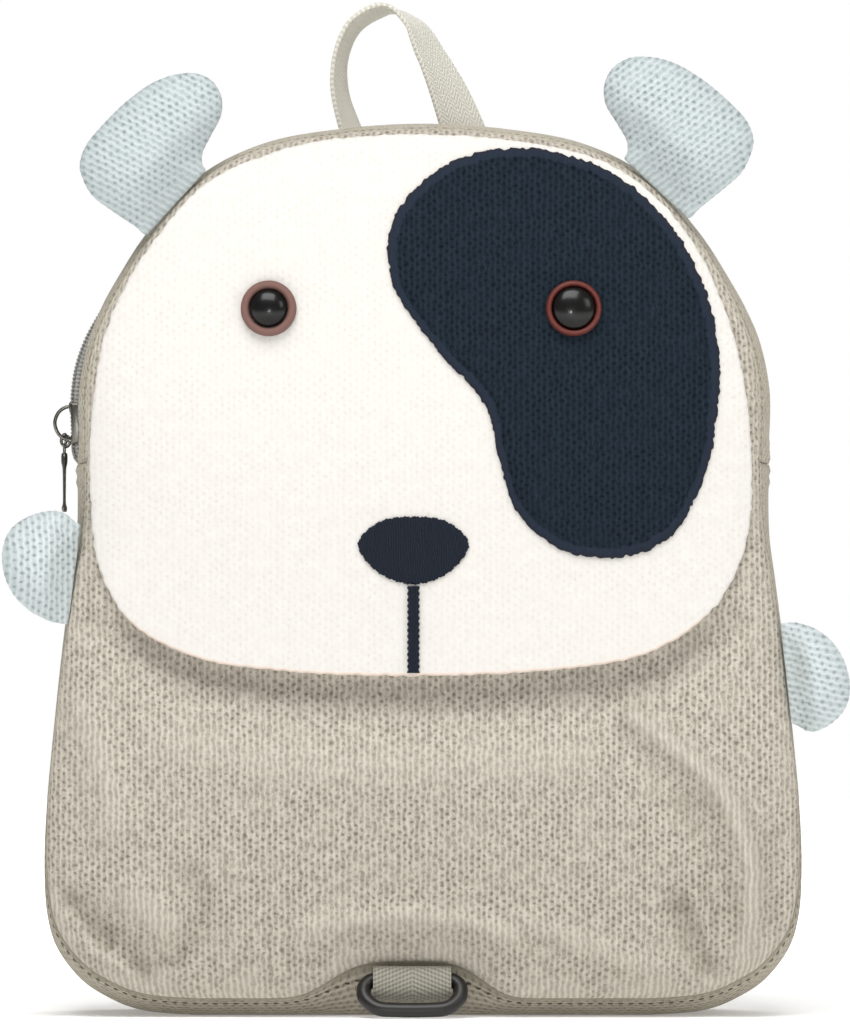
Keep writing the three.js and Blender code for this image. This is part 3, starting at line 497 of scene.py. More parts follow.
navyThread = threadMaterial("navyThread", tone(22, 31, 45), tone(10, 16, 26), 0.75, 0.0002)
seamThread = startMaterial("seamThread", Roughness=0.8, Base_Color=tone(104, 97, 83))[0]
coilPlastic = startMaterial("coilPlastic", Roughness=0.45, Base_Color=tone(138, 138, 136))[0]
darkMetal = startMaterial("darkMetal", Roughness=0.3, Metallic=1, Base_Color=tone(104, 102, 96))[0]
ringPlastic, ringTree, ringShader = startMaterial("ringPlastic", Roughness=0.42, Specular_IOR_Level=0.5)
ringPlace = node(ringTree, "TexCoord", [], output=3)
ringGrain = noise(ringTree, ringPlace, 900)
ringTone = blendTone(ringTree, ringGrain, tone(16, 14, 12), tone(23, 20, 18))
finishSurface(ringTree, ringShader, ringTone, ringGrain, 0.00004)
rimBrown = startMaterial("rimBrown", Roughness=0.6, Base_Color=tone(112, 82, 75),
                         Specular_IOR_Level=0.3)[0]
rimRed = startMaterial("rimRed", Roughness=0.5, Base_Color=tone(92, 38, 31), Specular_IOR_Level=0.35)[0]
pupilGloss = startMaterial("pupilGloss", Roughness=0.32, Base_Color=tone(8, 8, 7), Specular_IOR_Level=0.16,
                           Coat_Weight=0.34, Coat_Roughness=0.17)[0]
print("materials made")


# Front panel: a fine column grid in line with the knit, so that the holes are real dimples
frontPanel = {"step": 0.96, "course": 1.3, "fineUp": 131.3, "coarse": 5.2, "top": 283, "dimple": 0.2,
              "skin": 2.2, "covered": 129, "edgeHold": 22}
# Creases: spread, rise (a hollow where it is below 0) and the line of x and z that they follow
creaseRows = [
    (3.4, -5, [(-110, 37), (-104, 31), (-98, 24)]),
    (3.6, 3.4, [(-101, 18), (-96, 14), (-91, 9)]),
    (2.8, -3.6, [(-92, 22), (-88, 14), (-85, 8)]),
    (3.6, -3, [(-73, 44), (-69, 35), (-70, 26), (-77, 19), (-86, 17)]),
    (7.5, 3.6, [(-90, 37), (-83, 31), (-79, 29)]),
    (4.2, 6, [(66, 94), (82, 82), (93, 71), (100, 57), (103, 45), (102, 28), (98, 13)]),
    (3.2, -5, [(80, 36), (84, 25), (91, 10)]),
    (5.5, -3.4, [(84, 66), (91, 50), (93, 30)]),
    (3.6, -2.4, [(111, 56), (110, 38), (106, 24)]),
    (7, 2.6, [(-108, 98), (-100, 78), (-96, 60)]),
    (5, 2.2, [(34, 30), (52, 22), (74, 14)]),
    (4.6, 3, [(-36, 26), (-22, 30), (-6, 31), (12, 30), (28, 25)]),
    (9, -4.2, [(-102, 131), (-82, 115), (-52, 106), (0, 103), (42, 105), (72, 111), (94, 125)]),
    (10, 2, [(-80, 86), (-24, 78), (46, 82)]),
]


def distanceTo(points, x, z):
    line = evenLine(smoothLine(points, closed=False), 24)
    least = np.full(len(x), 1e9)
    for a, b in zip(line, line[1:]):
        along = b - a
        share = np.clip(((x - a[0]) * along[0] + (z - a[1]) * along[1]) / along.dot(along), 0, 1)
        least = np.minimum(least, np.hypot(x - a[0] - along[0] * share, z - a[1] - along[1] * share))
    return least


def panelKnit(table, x, z):
    shares = np.linspace(0, 1, 400)
    rise = bag["puff"] * dome(shares)
    walk = np.concatenate([[0], np.cumsum(np.hypot(np.diff(shares) * 125, np.diff(rise)))]) / 125
    share = shareOnPanel(table, x, z)
    stretch = np.interp(share, shares, walk) / np.maximum(share, 1e-6)
    return x * stretch, (z - centreUp) * stretch


def makeFront():
    seamX, seamZ = seamAt(np.linspace(-0.5, 0.5, 2401), frontSeam)
    rightMost, leftMost = int(np.argmax(seamX)), int(np.argmin(seamX))
    most = seamX[rightMost] - 0.02
    half = int(most / frontPanel["step"])
    columns = np.concatenate([[-most], np.arange(-half, half + 1) * frontPanel["step"], [most]])
    fine = np.arange(4 * frontPanel["course"], frontPanel["fineUp"], frontPanel["course"])
    coarse = np.arange(fine[-1] + frontPanel["coarse"], frontPanel["top"], frontPanel["coarse"])
    heights = np.concatenate([fine, coarse])
    lower = slice(leftMost, rightMost + 1)
    upper = np.concatenate([seamX[rightMost:], seamX[:leftMost + 1]])[::-1]
    upperUp = np.concatenate([seamZ[rightMost:], seamZ[:leftMost + 1]])[::-1]

    def place(column, row):
        x = columns[column]
        low = np.interp(x, seamX[lower], seamZ[lower])
        z = np.clip(heights[row], low, np.interp(x, upper, upperUp))
        rise = frontRise(x, z)
        share = np.minimum(shareOnPanel(frontTable, x, z), 1)
        held = np.minimum(1, frontPanel["edgeHold"] * (1 - share)) * rampUp(frontPanel["covered"] - z, 0, 8)
        gather = rampUp(low + 9 + 3 * np.sin(x / 5) + 2 * np.sin(x / 2.3) - z, 0, 9)
        for spread, crest, points in creaseRows:
            away = distanceTo(points, x, z)
            rise = rise + crest * bell(away, spread) * held
            # Rising creases take the gather mark along their crests; in the material it smooths the knit
            # there and paints a highlight on the crest
            gather = np.maximum(gather, 0.3 * max(crest, 0) * bell(away, 0.6 * spread) * held)
        gather = np.minimum(gather, 1)
        ribs = np.cos(np.pi / 2 * (x + 0.5 * np.sin(x / 7)) / frontPanel["step"]) * bell(z - low - 6, 7)
        lattice = np.cos(np.pi / 2 * x / frontPanel["step"]) * np.cos(np.pi * z / frontPanel["course"])
        rise = rise - frontPanel["dimple"] * np.maximum(lattice, 0) * (1 - gather) * held
        rise = rise + 0.3 * ribs * rampUp(z - low, 0, 3)
        return (x, -(halfDepth + rise), z), panelKnit(frontTable, x, z), (gather,)

    return gridPiece("frontPanel", len(columns) - 1, len(heights) - 1, place, facing=(0, -1, 0),
                     marks=("gather",))


front = makeFront()
work = bmesh.new()
work.from_mesh(front.data)
rim = bmesh.ops.extrude_edge_only(work, edges=[edge for edge in work.edges if edge.is_boundary])
for vertex in (v for v in rim["geom"] if isinstance(v, bmesh.types.BMVert)):
    vertex.co.y = -halfDepth * 0.001
work.to_mesh(front.data)
work.free()
front.data.shade_smooth()
skin = front.modifiers.new("skin", "SOLIDIFY")
skin.thickness = frontPanel["skin"] * 0.001
skin.offset = -1
settle(front, bodyKnit, "front_panel")
print("front panel made:", len(front.data.polygons), "faces")


# Back panel: rings from the middle out, over the edge and back in underneath
backGrid = {"columns": 220, "outer": 22, "inner": 8}


def placeBack(column, row):
    outer, inner, columns = backGrid["outer"], backGrid["inner"], backGrid["columns"]
    rows = outer + inner + 2
    seamX, seamZ = seamAt(column % columns / columns, backSeam)
    onTop, onEdge = row <= outer, row == outer + 1
    share = np.where(onTop, np.sin(np.pi / 2 * row / outer), (rows - row) / inner)
    share = np.clip(share, 0, 1)
    toSeam = share * np.where(onTop, 1, 1 - bag["wall"] / np.hypot(seamX, seamZ - centreUp))
    x = np.where(onEdge, seamX, seamX * toSeam)
    z = np.where(onEdge, seamZ, centreUp + (seamZ - centreUp) * toSeam)
    rise = bag["wall"] * onTop + bag["backPuff"] * dome(share)
    return (x, halfDepth + np.where(onEdge, 0, rise), z), panelKnit(backTable, x, z), ()


backPanel = gridPiece("backPanel", backGrid["columns"], backGrid["outer"] + backGrid["inner"] + 2, placeBack)
settle(backPanel, gussetKnit, "back_panel")


# Low on the left the zip gapes: the front strip dips and the tape stands out behind it
gape = {"from": 171, "full": 178, "top": 230, "run": 30, "dip": 1.6, "push": 2.4}


def zipGape(x, z, depth):
    wide = rampUp(gape["top"] - z, 0, gape["run"]) * rampUp(z, gape["from"], gape["full"]) * (x < 0)
    dip = gape["dip"] * rampUp(depth, -30, -12) * (1 - rampUp(depth, -3.2, -2.6))
    return wide * (dip - gape["push"] * rampUp(depth, -2.9, 1.5))


# Gusset strips: a loop of depths over and under the cloth, carried along the outline
def gussetStrip(name, spec):
    depths = np.array(spec["depths"], float)
    under = depths[::-1][::4]
    if under[-1] != depths[0]:
        under = np.append(under, depths[0])
    loopDepth = np.concatenate([depths, under])
    outer, inner = -spec["raise"], spec["wall"] - spec["raise"]
    columns, rows = len(loopDepth), spec["stations"] + 2
    span = spec["to"] - spec["from"]

    def place(column, row):
        loop = column % columns
        station = np.clip(row - 1, 0, spec["stations"]) / spec["stations"]
        share = spec["from"] + span * station
        onEnd = (row == 0) | (row == rows)
        depth = loopDepth[loop]
        outside = loop < len(depths)
        sink = np.where(onEnd, (outer + inner) / 2, np.where(outside, outer, inner))
        fromEnd = np.minimum(station, 1 - station) * span * roundLength
        ridge = spec["endRidge"] * (0.7 * bell(fromEnd - 2.2, 1.1) + 0.5 * bell(fromEnd - 5.6, 0.9))
        edgeRoll = spec["edgeRoll"] * 0.5 * bell(np.abs(depth) - halfDepth + 1.6, 1.2)
        raised = ridge * rampUp(halfDepth - np.abs(depth), 0, 3) + edgeRoll
        x, z = gussetAt(share, depth)
        outX, outZ = outwardAt(share)
        raised = np.where(outside & ~onEnd, raised, 0) - sink - zipGape(x, z, depth) * spec["dips"]
        # Painted shade along the front seam: the outer face is marked for darkening next to the seam, fully
        # low down and faintly above
        seamShadeShare = bell(halfDepth + depth, 1.3) * outside * (0.1 + 0.9 * rampUp(78 - z, 0, 50))
        x, z = x + outX * raised, np.maximum(z + outZ * raised, 0)
        return (x, depth, z), (depth, share * roundLength), (seamShadeShare,)

    return gridPiece(name, columns, rows, place, marks=("seam",))


sideShare = shareAtHeight(bag["sideSeam"])
seamGap = bag["clearance"] / 2 / roundLength
edgeDepth = halfDepth - bag["clearance"]
strip = {"wall": bag["wall"], "raise": 0, "endRidge": 1, "edgeRoll": 1, "dips": 0}
lower = {**strip, "from": seamGap - sideShare, "to": sideShare - seamGap, "stations": 300,
         "depths": np.linspace(-edgeDepth, edgeDepth, 49)}
topFront = {**strip, "from": sideShare + seamGap, "to": 1 - sideShare - seamGap, "stations": 220, "dips": 1,
            "depths": np.linspace(-edgeDepth, -3.3, 25)}
topBack = {**topFront, "edgeRoll": 0, "depths": np.linspace(9.3, edgeDepth, 21)}
tape = {**topBack, "depths": np.linspace(-3, 9, 13), "wall": 1.4, "raise": -0.9, "endRidge": 0}
settle(gussetStrip("gussetLower", lower), gussetKnit, "gusset_lower")
settle(gussetStrip("gussetTopFront", topFront), gussetKnit, "gusset_top_front")
settle(gussetStrip("gussetTopBack", topBack), gussetKnit, "gusset_top_back")
settle(gussetStrip("zipTape", tape), tapeCloth, "zip_tape")
print("gusset made")


def framedMatrix(place, first, second, sizes):
    first = Vector(first).normalized()
    second = Vector(second)
    second = (second - first * second.dot(first)).normalized()
    third = first.cross(second)
    turn = Matrix([first, second, third]).transposed().to_4x4()
    grown = Matrix.Diagonal((*[size * 0.001 for size in sizes], 1))
    return Matrix.Translation(Vector(place) * 0.001) @ turn @ grown


def gussetSpot(share, depth):
    return *gussetAt(share, depth), *outwardAt(share)


# Lockstitches along the front seam, small threads pulled into the gusset's edge
stitch = {"pitch": 3.2, "depth": -32.6, "half": (0.85, 1, 0.34), "raised": 0.15, "sunk": 0.28}
work = bmesh.new()
stitchCount = int(roundLength / stitch["pitch"])
for k in range(stitchCount):
    x, z, outX, outZ = gussetSpot((k + 0.5) / stitchCount, stitch["depth"])
    lift = stitch["raised"] - stitch["sunk"] * float(rampUp(z, 60, 120))
    spot = (x + outX * lift, stitch["depth"], z + outZ * lift)
    matrix = framedMatrix(spot, (-outZ, 0, outX), (0, 1, 0), stitch["half"])
    bmesh.ops.create_icosphere(work, subdivisions=2, radius=1, matrix=matrix)
settle(addPiece("seamStitches", work), seamThread)
print("seam stitches made")


# Zip: coil rungs, slider and hanging pull
teeth = {"pitch": 1.2, "across": 2.4, "half": (0.55, 1.344, 0.42), "slant": 0.18, "depth": 3, "sunk": 0.5}
work = bmesh.new()
for k in range(int((1 - 2 * sideShare - 4 * seamGap) * roundLength / teeth["pitch"])):
    share = sideShare + 2 * seamGap + (k + 0.5) * teeth["pitch"] / roundLength
    for side in (-1, 1):
        depth = teeth["depth"] + side * teeth["across"] / 2
        x, z, outX, outZ = gussetSpot(share, depth)
        sink = teeth["sunk"] + float(zipGape(x, z, depth))
        spot = (x - outX * sink, depth, z - outZ * sink)
        matrix = framedMatrix(spot, (outX, 0, outZ), (0, 1, side * teeth["slant"]), teeth["half"])
        bmesh.ops.create_icosphere(work, subdivisions=2, radius=1, matrix=matrix)
settle(addPiece("zipTeeth", work), coilPlastic, "zip_coil")
print("zip made")


# Face flap with the patch, nose and mouth sewn on it
flapRows = [
    (0.972, -0.33, 0.4), (0.92, -0.575, 0.56), (0.813, -0.735, 0.705), (0.655, -0.828, 0.8),
    (0.5, -0.866, 0.85), (0.322, -0.873, 0.862), (0.195, -0.848, 0.825), (0.1, -0.768, 0.728),
    (0.037, -0.61, 0.57), (0.009, -0.37, 0.31),
]
flap = {"low": 107, "top": 277.5, "wall": 2, "gap": 0.6, "lift": 2.5, "looseUp": 40, "inset": 1.5,
        "sewn": 0.4}


def flapPoint(out, up):
    return out * halfWidth, flap["low"] + (flap["top"] - flap["low"]) * up


def insideSeam(point):
    x, z = point
    length = math.hypot(x, z - centreUp)
    most = float(seamReach(frontTable, x, z)) - flap["inset"]
    share = min(length, most) / length
    return x * share, centreUp + (z - centreUp) * share


def flapSeat(x, z):
    loose = np.clip(1 - (z - flap["low"]) / flap["looseUp"], 0, 1)
    length = np.maximum(np.hypot(x, z - centreUp), 1e-6)
    share = np.maximum(length - flap["inset"], 0) / length
    inward = frontDepth(x * share, centreUp + (z - centreUp) * share)
    return np.minimum(frontDepth(x, z), inward) - flap["gap"] - flap["lift"] * loose ** 2


def onFlap(x, z):
    return flapSeat(x, z) - flap["wall"] - flap["sewn"]


flapPoints = [flapPoint(-0.03, 1)] + [flapPoint(right, up) for up, left, right in flapRows]
flapPoints += [flapPoint(-0.03, 0)] + [flapPoint(left, up) for up, left, right in flapRows[::-1]]
flapOutline = smoothLine([insideSeam(point) for point in flapPoints])
flapSpec = {"columns": 720, "rows": 44, "rollRows": 8, "underRows": 8, "wall": flap["wall"], "roll": 1,
            "ragged": 0.22, "sink": 0, "rimUpTo": (120, 150)}
faceFlap = overlayPiece("faceFlap", flapOutline, flapPoint(0, 0.45), flapSeat, flapSpec)
settle(faceFlap, faceKnit, "face_flap")

patchRows = [
    (0.24, 0.965), (0.06, 0.935), (-0.08, 0.83), (-0.08, 0.72), (0.03, 0.6), (0.165, 0.49),
    (0.2, 0.39), (0.25, 0.295), (0.35, 0.235), (0.5, 0.215), (0.64, 0.25), (0.73, 0.35),
    (0.775, 0.51), (0.763, 0.65), (0.692, 0.78), (0.566, 0.886), (0.42, 0.944),
]


def patchRelief(x, z, inside):
    return 0.5 * bell(inside - 1.7, 1) - 0.8 * bell(inside - 3.4, 0.45)


patchSpec = {"columns": 640, "rows": 44, "rollRows": 7, "underRows": 5, "wall": 1.4, "roll": 1.2,
             "ragged": 0.34, "sink": 0.7}
patchOutline = smoothLine([flapPoint(*row) for row in patchRows])
eyePatch = overlayPiece("eyePatch", patchOutline, flapPoint(0.42, 0.62), onFlap, patchSpec, patchRelief)
settle(eyePatch, navyKnit, "eye_patch")

noseRows = [(0, 1), (0.62, 0.84), (1, 0.2), (0.66, -0.62), (0, -1), (-0.66, -0.62), (-1, 0.2), (-0.62, 0.84)]
nose = {"across": -3, "up": 146, "width": 35, "height": 21.6, "points": 220}
noseMiddle = np.array([nose["across"], nose["up"]])
noseLine = smoothLine(noseMiddle + np.array(noseRows) * [nose["width"] / 2, nose["height"] / 2])
noseLine = evenLine(noseLine, nose["points"])
jag = np.arange(len(noseLine))
jag = 0.22 * np.sin(jag * 2.1) + 0.16 * np.sin(jag * 0.83) - 0.2
noseLine = noseLine + unit(noseLine - noseMiddle) * jag[:, None]
noseLine[-1] = noseLine[0]
noseSpec = {"columns": nose["points"], "rows": 24, "rollRows": 6, "underRows": 3, "wall": 1.2, "roll": 1.6,
            "ragged": 0, "sink": 0.6}
settle(overlayPiece("nose", noseLine, noseMiddle, onFlap, noseSpec), navyThread, "nose")


# A band swept along a line; every row gives its centre, width, thickness and turn
def sweptPiece(name, spec):
    steps, sides, power = spec["steps"], spec["sides"], spec["roundness"]
    path = evenLine(smoothLine(spec["rows"], closed=False, fine=60), steps)
    centre, sizes = path[:, :3], path[:, 3:]
    tangent = unit(np.gradient(centre, axis=0))
    turn = np.radians(sizes[:, 2])
    if spec.get("turned"):
        across = np.column_stack([np.sin(turn), np.cos(turn), np.full_like(turn, -spec.get("tilt", 0))])
    else:
        across = np.tile([1, 0, 0], (steps + 1, 1))
    across = unit(across - tangent * np.sum(across * tangent, axis=1)[:, None])
    outward = np.cross(tangent, across)
    along = lineLength(centre)

    def place(column, row):
        station = np.clip(row - 1, 0, steps)
        onEnd = (row == 0) | (row == steps + 2)
        angle = 2 * np.pi * (column % sides + 0.5) / sides
        wide = np.sign(np.cos(angle)) * np.abs(np.cos(angle)) ** power * sizes[station, 0] / 2
        high = np.sign(np.sin(angle)) * np.abs(np.sin(angle)) ** power * sizes[station, 1] / 2
        wide = wide * (1 + spec.get("serrate", 0) * np.sin(2 * np.pi * along[station] / 1.9))
        wide, high = np.where(onEnd, 0, wide), np.where(onEnd, 0, high)
        point = centre[station] + across[station] * wide[:, None] + outward[station] * high[:, None]
        if spec.get("puckerAt"):
            pucker = spec["puckerAt"](wide, along[station]) * np.sign(high)
            point = point + outward[station] * pucker[:, None]
        return tuple(point.T), (wide, along[station]), ()

    return gridPiece(name, sides, steps + 2, place)


# Slider bent over the coil, with a round wire bail and a thin pull that hangs edge on
sliderLean = math.radians(3)
sliderRows = [(-109.3, 186, 3.4, 13, 8.4), (-109.8, 191, 3.9, 3.6, 7.2), (-109.6, 180.9, 3.4, 3.2, 6)]
work = bmesh.new()
for x, z, deep, tall, wide in sliderRows:
    place = (x, teeth["depth"], z)
    matrix = framedMatrix(place, (1, 0, math.tan(sliderLean)), (0, 1, 0), (deep, wide, tall))
    block = bmesh.ops.create_cube(work, size=1, matrix=matrix)
    edges = {edge for vertex in block["verts"] for edge in vertex.link_edges}
    bmesh.ops.bevel(work, geom=list(edges), offset=0.0007, offset_type="OFFSET", affect="EDGES", segments=3,
                    profile=0.5, material=-1)
settle(addPiece("zipSlider", work), darkMetal, "zip_slider")
bailRows = [(-109.8, 191), (-112.4, 191.2), (-115, 189.6), (-116.3, 186.4), (-115.5, 183.2),
            (-113.5, 181.2), (-110.4, 180.2)]
linkRows = [(-113.6, 182.4), (-112, 181.6), (-111.6, 179.8), (-112.6, 178.6), (-114, 179.4),
            (-114.2, 181.2), (-113.2, 182.6), (-112.6, 181), (-113.2, 178.8), (-113.3, 176)]
leafRows = [(176.6, 2.2, 1.7), (175.6, 3.6, 2), (173.4, 4.2, 1.9), (172, 4.6, 1.3), (166, 5, 1),
            (160.5, 5.6, 1.1), (159.4, 5.8, 1.7), (158.4, 4.6, 1.6), (158, 3, 1.2)]
wire = {"steps": 60, "sides": 12, "roundness": 1, "turned": True}
bail = {**wire, "rows": [(x, 3, z, 1.15, 1.15, 0) for x, z in bailRows]}
link = {**wire, "rows": [(x, 3 + 0.5 * math.sin(k * 1.3), z, 1, 1, 0) for k, (x, z) in enumerate(linkRows)]}
leaf = {**wire, "sides": 24, "rows": [(-113.3, 3, z, wide, thick, 0) for z, wide, thick in leafRows]}
settle(sweptPiece("zipBail", bail), darkMetal)
settle(sweptPiece("zipLink", link), darkMetal)
settle(sweptPiece("zipLeaf", leaf), darkMetal, "zip_pull")
print("zip slider and pull made")

mouthUp = np.linspace(nose["up"] - nose["height"] / 2 - 0.3, 108, 9)
mouthDepth = onFlap(np.full(9, nose["across"]), mouthUp) - 0.6
mouth = {"rows": [(nose["across"], y, z, 3.6, 1.2, 0) for y, z in zip(mouthDepth, mouthUp)], "steps": 110,
         "sides": 16, "roundness": 0.7, "serrate": 0.12,
         "puckerAt": lambda wide, along: 0.12 * np.sin(2 * np.pi * (along + wide * 0.6) / 2.1)}
settle(sweptPiece("mouthLine", mouth), navyThread, "mouth_line")
print("face made")


# Eyes: turned rims and glossy domes standing square on the cloth
def turnedPiece(name, profile, x, z, seatAt):
    work = bmesh.new()
    points = [work.verts.new((radius * 0.001, 0, height * 0.001)) for radius, height in profile]
    edges = [work.edges.new(pair) for pair in zip(points, points[1:])]
    bmesh.ops.spin(work, geom=points + edges, cent=(0, 0, 0), axis=(0, 0, 1), angle=2 * math.pi, steps=64)
    bmesh.ops.remove_doubles(work, verts=work.verts, dist=2e-6)
    bmesh.ops.recalc_face_normals(work, faces=work.faces)
    depth = seatAt(np.array([x + 4, x - 4, x, x, x]), np.array([z, z, z + 4, z - 4, z]))
    outward = Vector(((depth[0] - depth[1]) / 8, -1, (depth[2] - depth[3]) / 8)).normalized()
    turn = Vector((0, 0, 1)).rotation_difference(outward).to_matrix().to_4x4()
    seat = Matrix.Translation(Vector((x, depth[4], z)) * 0.001)
    bmesh.ops.transform(work, matrix=seat @ turn, verts=work.verts)
    return addPiece(name, work)


def onPatch(x, z):
    return onFlap(x, z) - patchSpec["wall"] + eyes["sunk"]


eyes = {"up": 221.4, "size": 17.4, "rimHeight": 2.6, "pupilHeight": 4.6, "gap": 0.15, "sunk": 0.4}
eyeRows = [
    {"side": "Left", "x": -48.1, "pupil": 11.8, "seat": onFlap, "rim": rimBrown, "slot": "eye_brown"},
    {"side": "Right", "x": 46.9, "pupil": 13.4, "seat": onPatch, "rim": rimRed, "slot": "eye_red_brown"},
]
for eye in eyeRows:
    spot = (eye["x"], eyes["up"], eye["seat"])
    outer, inner = eyes["size"] / 2, eye["pupil"] / 2 + eyes["gap"]
    middle, half = (outer + inner) / 2, (outer - inner) / 2
    profile = [(inner, 0), (outer, 0)]
    for turn in np.linspace(0, math.pi, 11):
        profile.append((middle + half * math.cos(turn), eyes["rimHeight"] * (0.35 + 0.65 * math.sin(turn))))
    profile.append((inner, 0))
    rim = turnedPiece("eyeRim" + eye["side"], profile, *spot)
    settle(rim, eye["rim"], "eye_rim_" + eye["side"].lower())
    radius, wall = eye["pupil"] / 2, 0.3 * eyes["pupilHeight"]
    profile = [(0, 0), (radius, 0)]
    for turn in np.linspace(0, math.pi / 2, 17):
        profile.append((radius * math.cos(turn), wall + (eyes["pupilHeight"] - wall) * math.sin(turn)))
    profile[-1] = (0, profile[-1][1])
    pupil = turnedPiece("eyePupil" + eye["side"], profile, *spot)
    settle(pupil, pupilGloss, "eye_pupil_" + eye["side"].lower())
print("eyes made")

# Ears and arms: two layers blown up from an outline whose straight root lies in the front seam
earRows = [
    (0, 0), (0, -0.25), (0.14, -0.262), (0.45, -0.29), (0.62, -0.298), (0.78, -0.268), (0.9, -0.22),
    (0.98, -0.12), (1, 0.05), (0.98, 0.25), (0.92, 0.42), (0.82, 0.54), (0.68, 0.63), (0.52, 0.66),
    (0.36, 0.63), (0.245, 0.55), (0.185, 0.42), (0.13, 0.31), (0.06, 0.265), (0, 0.25),
]
armRows = [
    (0, 0), (0, -0.4), (0.1, -0.405), (0.24, -0.4), (0.37, -0.375), (0.5, -0.345), (0.62, -0.3),
    (0.75, -0.235), (0.88, -0.13), (0.97, 0), (1, 0.14), (0.965, 0.27), (0.88, 0.36), (0.75, 0.43),
    (0.62, 0.475), (0.49, 0.505), (0.365, 0.52), (0.236, 0.51), (0.107, 0.46), (0, 0.42),
]


def stuffedPiece(name, spec):
    side, columns, layers = spec["side"], 280, 24
    share = shareAtHeight(spec["height"])
    share = share if side > 0 else 1 - share
    outX, outZ = outwardAt(share)
    away = np.array([outX, 0, outZ])
    along = np.array([-outZ * side, 0, outX * side])
    seamX, seamZ = seamAt(share, frontSeam)
    root = np.array([seamX, -(halfDepth + bag["clearance"] + 2.5), seamZ]) + away * 0.6
    reach, span, thick, gather = spec["reach"], spec["flip"] * spec["span"], spec["thick"], spec["gather"]
    edge = smoothLine([root + away * a * reach + along * b * span for a, b in spec["rows"]])
    edge = evenLine(edge, columns)[:-1]
    edge += away * np.maximum(0, -(edge - root) @ away)[:, None]
    around = lineLength(np.vstack([edge, edge[:1]]))[:-1]
    middle = root + away * spec["middle"][0] * reach + along * spec["middle"][1] * span
    lean = math.radians(spec["knitTurn"])

    def place(column, row):
        turn = np.pi * row / (2 * layers)
        point = middle + (edge[column % columns] - middle) * np.sin(turn)[:, None]
        fromRoot = (point - root) @ away
        sideways = (point - root) @ along
        fullness = 5 / thick + (1 - 5 / thick) * rampUp(fromRoot / (0.45 * reach), 0, 1)
        pucker = 0.5 * gather * np.cos(2 * np.pi * sideways / 4.6) * bell(fromRoot - 4, 5)
        height = thick / 2 * fullness * np.cos(turn)
        point[:, 1] -= height + pucker * rampUp(fromRoot, 0, 3) * np.cos(turn)
        outer = (point - middle) * [1, 0, 1]
        outer /= np.maximum(np.linalg.norm(outer, axis=1), 1)[:, None]
        stitches = 0.06 * np.cos(2 * np.pi * around[column % columns] / 2.2) * np.sin(turn) ** 6
        point += outer * (stitches * rampUp(fromRoot, 1, 4))[:, None]
        walk = fromRoot + 0.15 * np.abs(height)
        knitX = sideways * math.cos(lean) + walk * math.sin(lean)
        knitZ = walk * math.cos(lean) - sideways * math.sin(lean)
        return tuple(point.T), (knitX, knitZ), (rampUp(7 * gather - fromRoot, 0, 6) * 0.9,)

    return gridPiece(name, columns, 2 * layers, place, marks=("gather",))


ear = {"rows": earRows, "middle": (0.54, 0.04), "span": 54, "thick": 20, "flip": 1, "gather": 1}
arm = {"rows": armRows, "middle": (0.46, 0.02), "span": 37.5, "thick": 21, "flip": 1, "gather": 0.3}
stuffedRows = {
    "ear_left": {**ear, "height": 256, "side": -1, "reach": 33.5, "knitTurn": 14},
    "ear_right": {**ear, "height": 260.5, "side": 1, "reach": 35.5, "knitTurn": 8},
    "arm_left": {**arm, "height": 136, "side": -1, "reach": 23.3, "knitTurn": 98},
    "arm_right": {**arm, "height": 105.2, "side": 1, "reach": 19.5, "knitTurn": 20, "flip": -1,
                  "gather": 0.6},
}
for nodeName, spec in stuffedRows.items():
    kind, side = nodeName.split("_")
    knit = shadedEarKnit if kind == "ear" else armKnit
    settle(stuffedPiece(kind + side.title(), spec), knit, nodeName)
print("ears and arms made")

# Handle, and the tab and ring at the front of the base
handleRows = [
    (-0.47, -0.12, 22), (-0.52, 0, 20), (-0.6, 0.3, 14), (-0.585, 0.6, 10), (-0.46, 0.86, 10),
    (-0.18, 1, 14), (0.06, 0.88, 22), (0.23, 0.6, 30), (0.38, 0.3, 38), (0.5, 0, 44), (0.54, -0.12, 46),
]
handle = {"across": -5.6, "span": 35, "depth": 30, "seat": 281.8, "height": 36, "width": 20,
          "thick": 1.8, "steps": 120, "sides": 40, "roundness": 0.35, "turned": True, "tilt": 0.1}
handle["rows"] = [
    (handle["across"] + a * handle["span"], handle["depth"], handle["seat"] + up * handle["height"],
     handle["width"], handle["thick"], turn) for a, up, turn in handleRows
]
settle(sweptPiece("handle", handle), webbingCloth, "handle")

ring = {"bar": 4.6, "drop": 11.9, "inside": 25.6, "lowCorner": 6.5, "highCorner": 4.2, "bow": 0.9,
        "steps": 180, "sides": 20}
tab = {"width": 24.4, "thick": 1.3, "tuck": 0.5, "steps": 60, "sides": 48, "roundness": 0.2}
offSeam = bag["clearance"] + tab["thick"] / 2
bend = ring["bar"] / 2 + offSeam
tabLift = frontSeam["lift"] * float(flatBell(tab["width"] / 2, tabPlace["liftRight"]))
tabRoot = frontSeam["low"] + tabLift - tab["tuck"] - offSeam
ringTop = np.array([tabPlace["across"], -(halfDepth + offSeam + bend), tabRoot - 1.05 * bend])
tabRows = [(-0.9, 1.05), (-1, -0.2), (-0.8, -1.3), (0, -1.8), (0.8, -1.3), (1.04, -0.2), (0.72, 0.85),
           (-0.2, 1.12)]
tab["rows"] = [(ringTop[0], ringTop[1] - a * bend, ringTop[2] + up * bend, tab["width"], tab["thick"], 0)
               for a, up in tabRows]
settle(sweptPiece("ringTab", tab), tabCloth, "ring_tab")


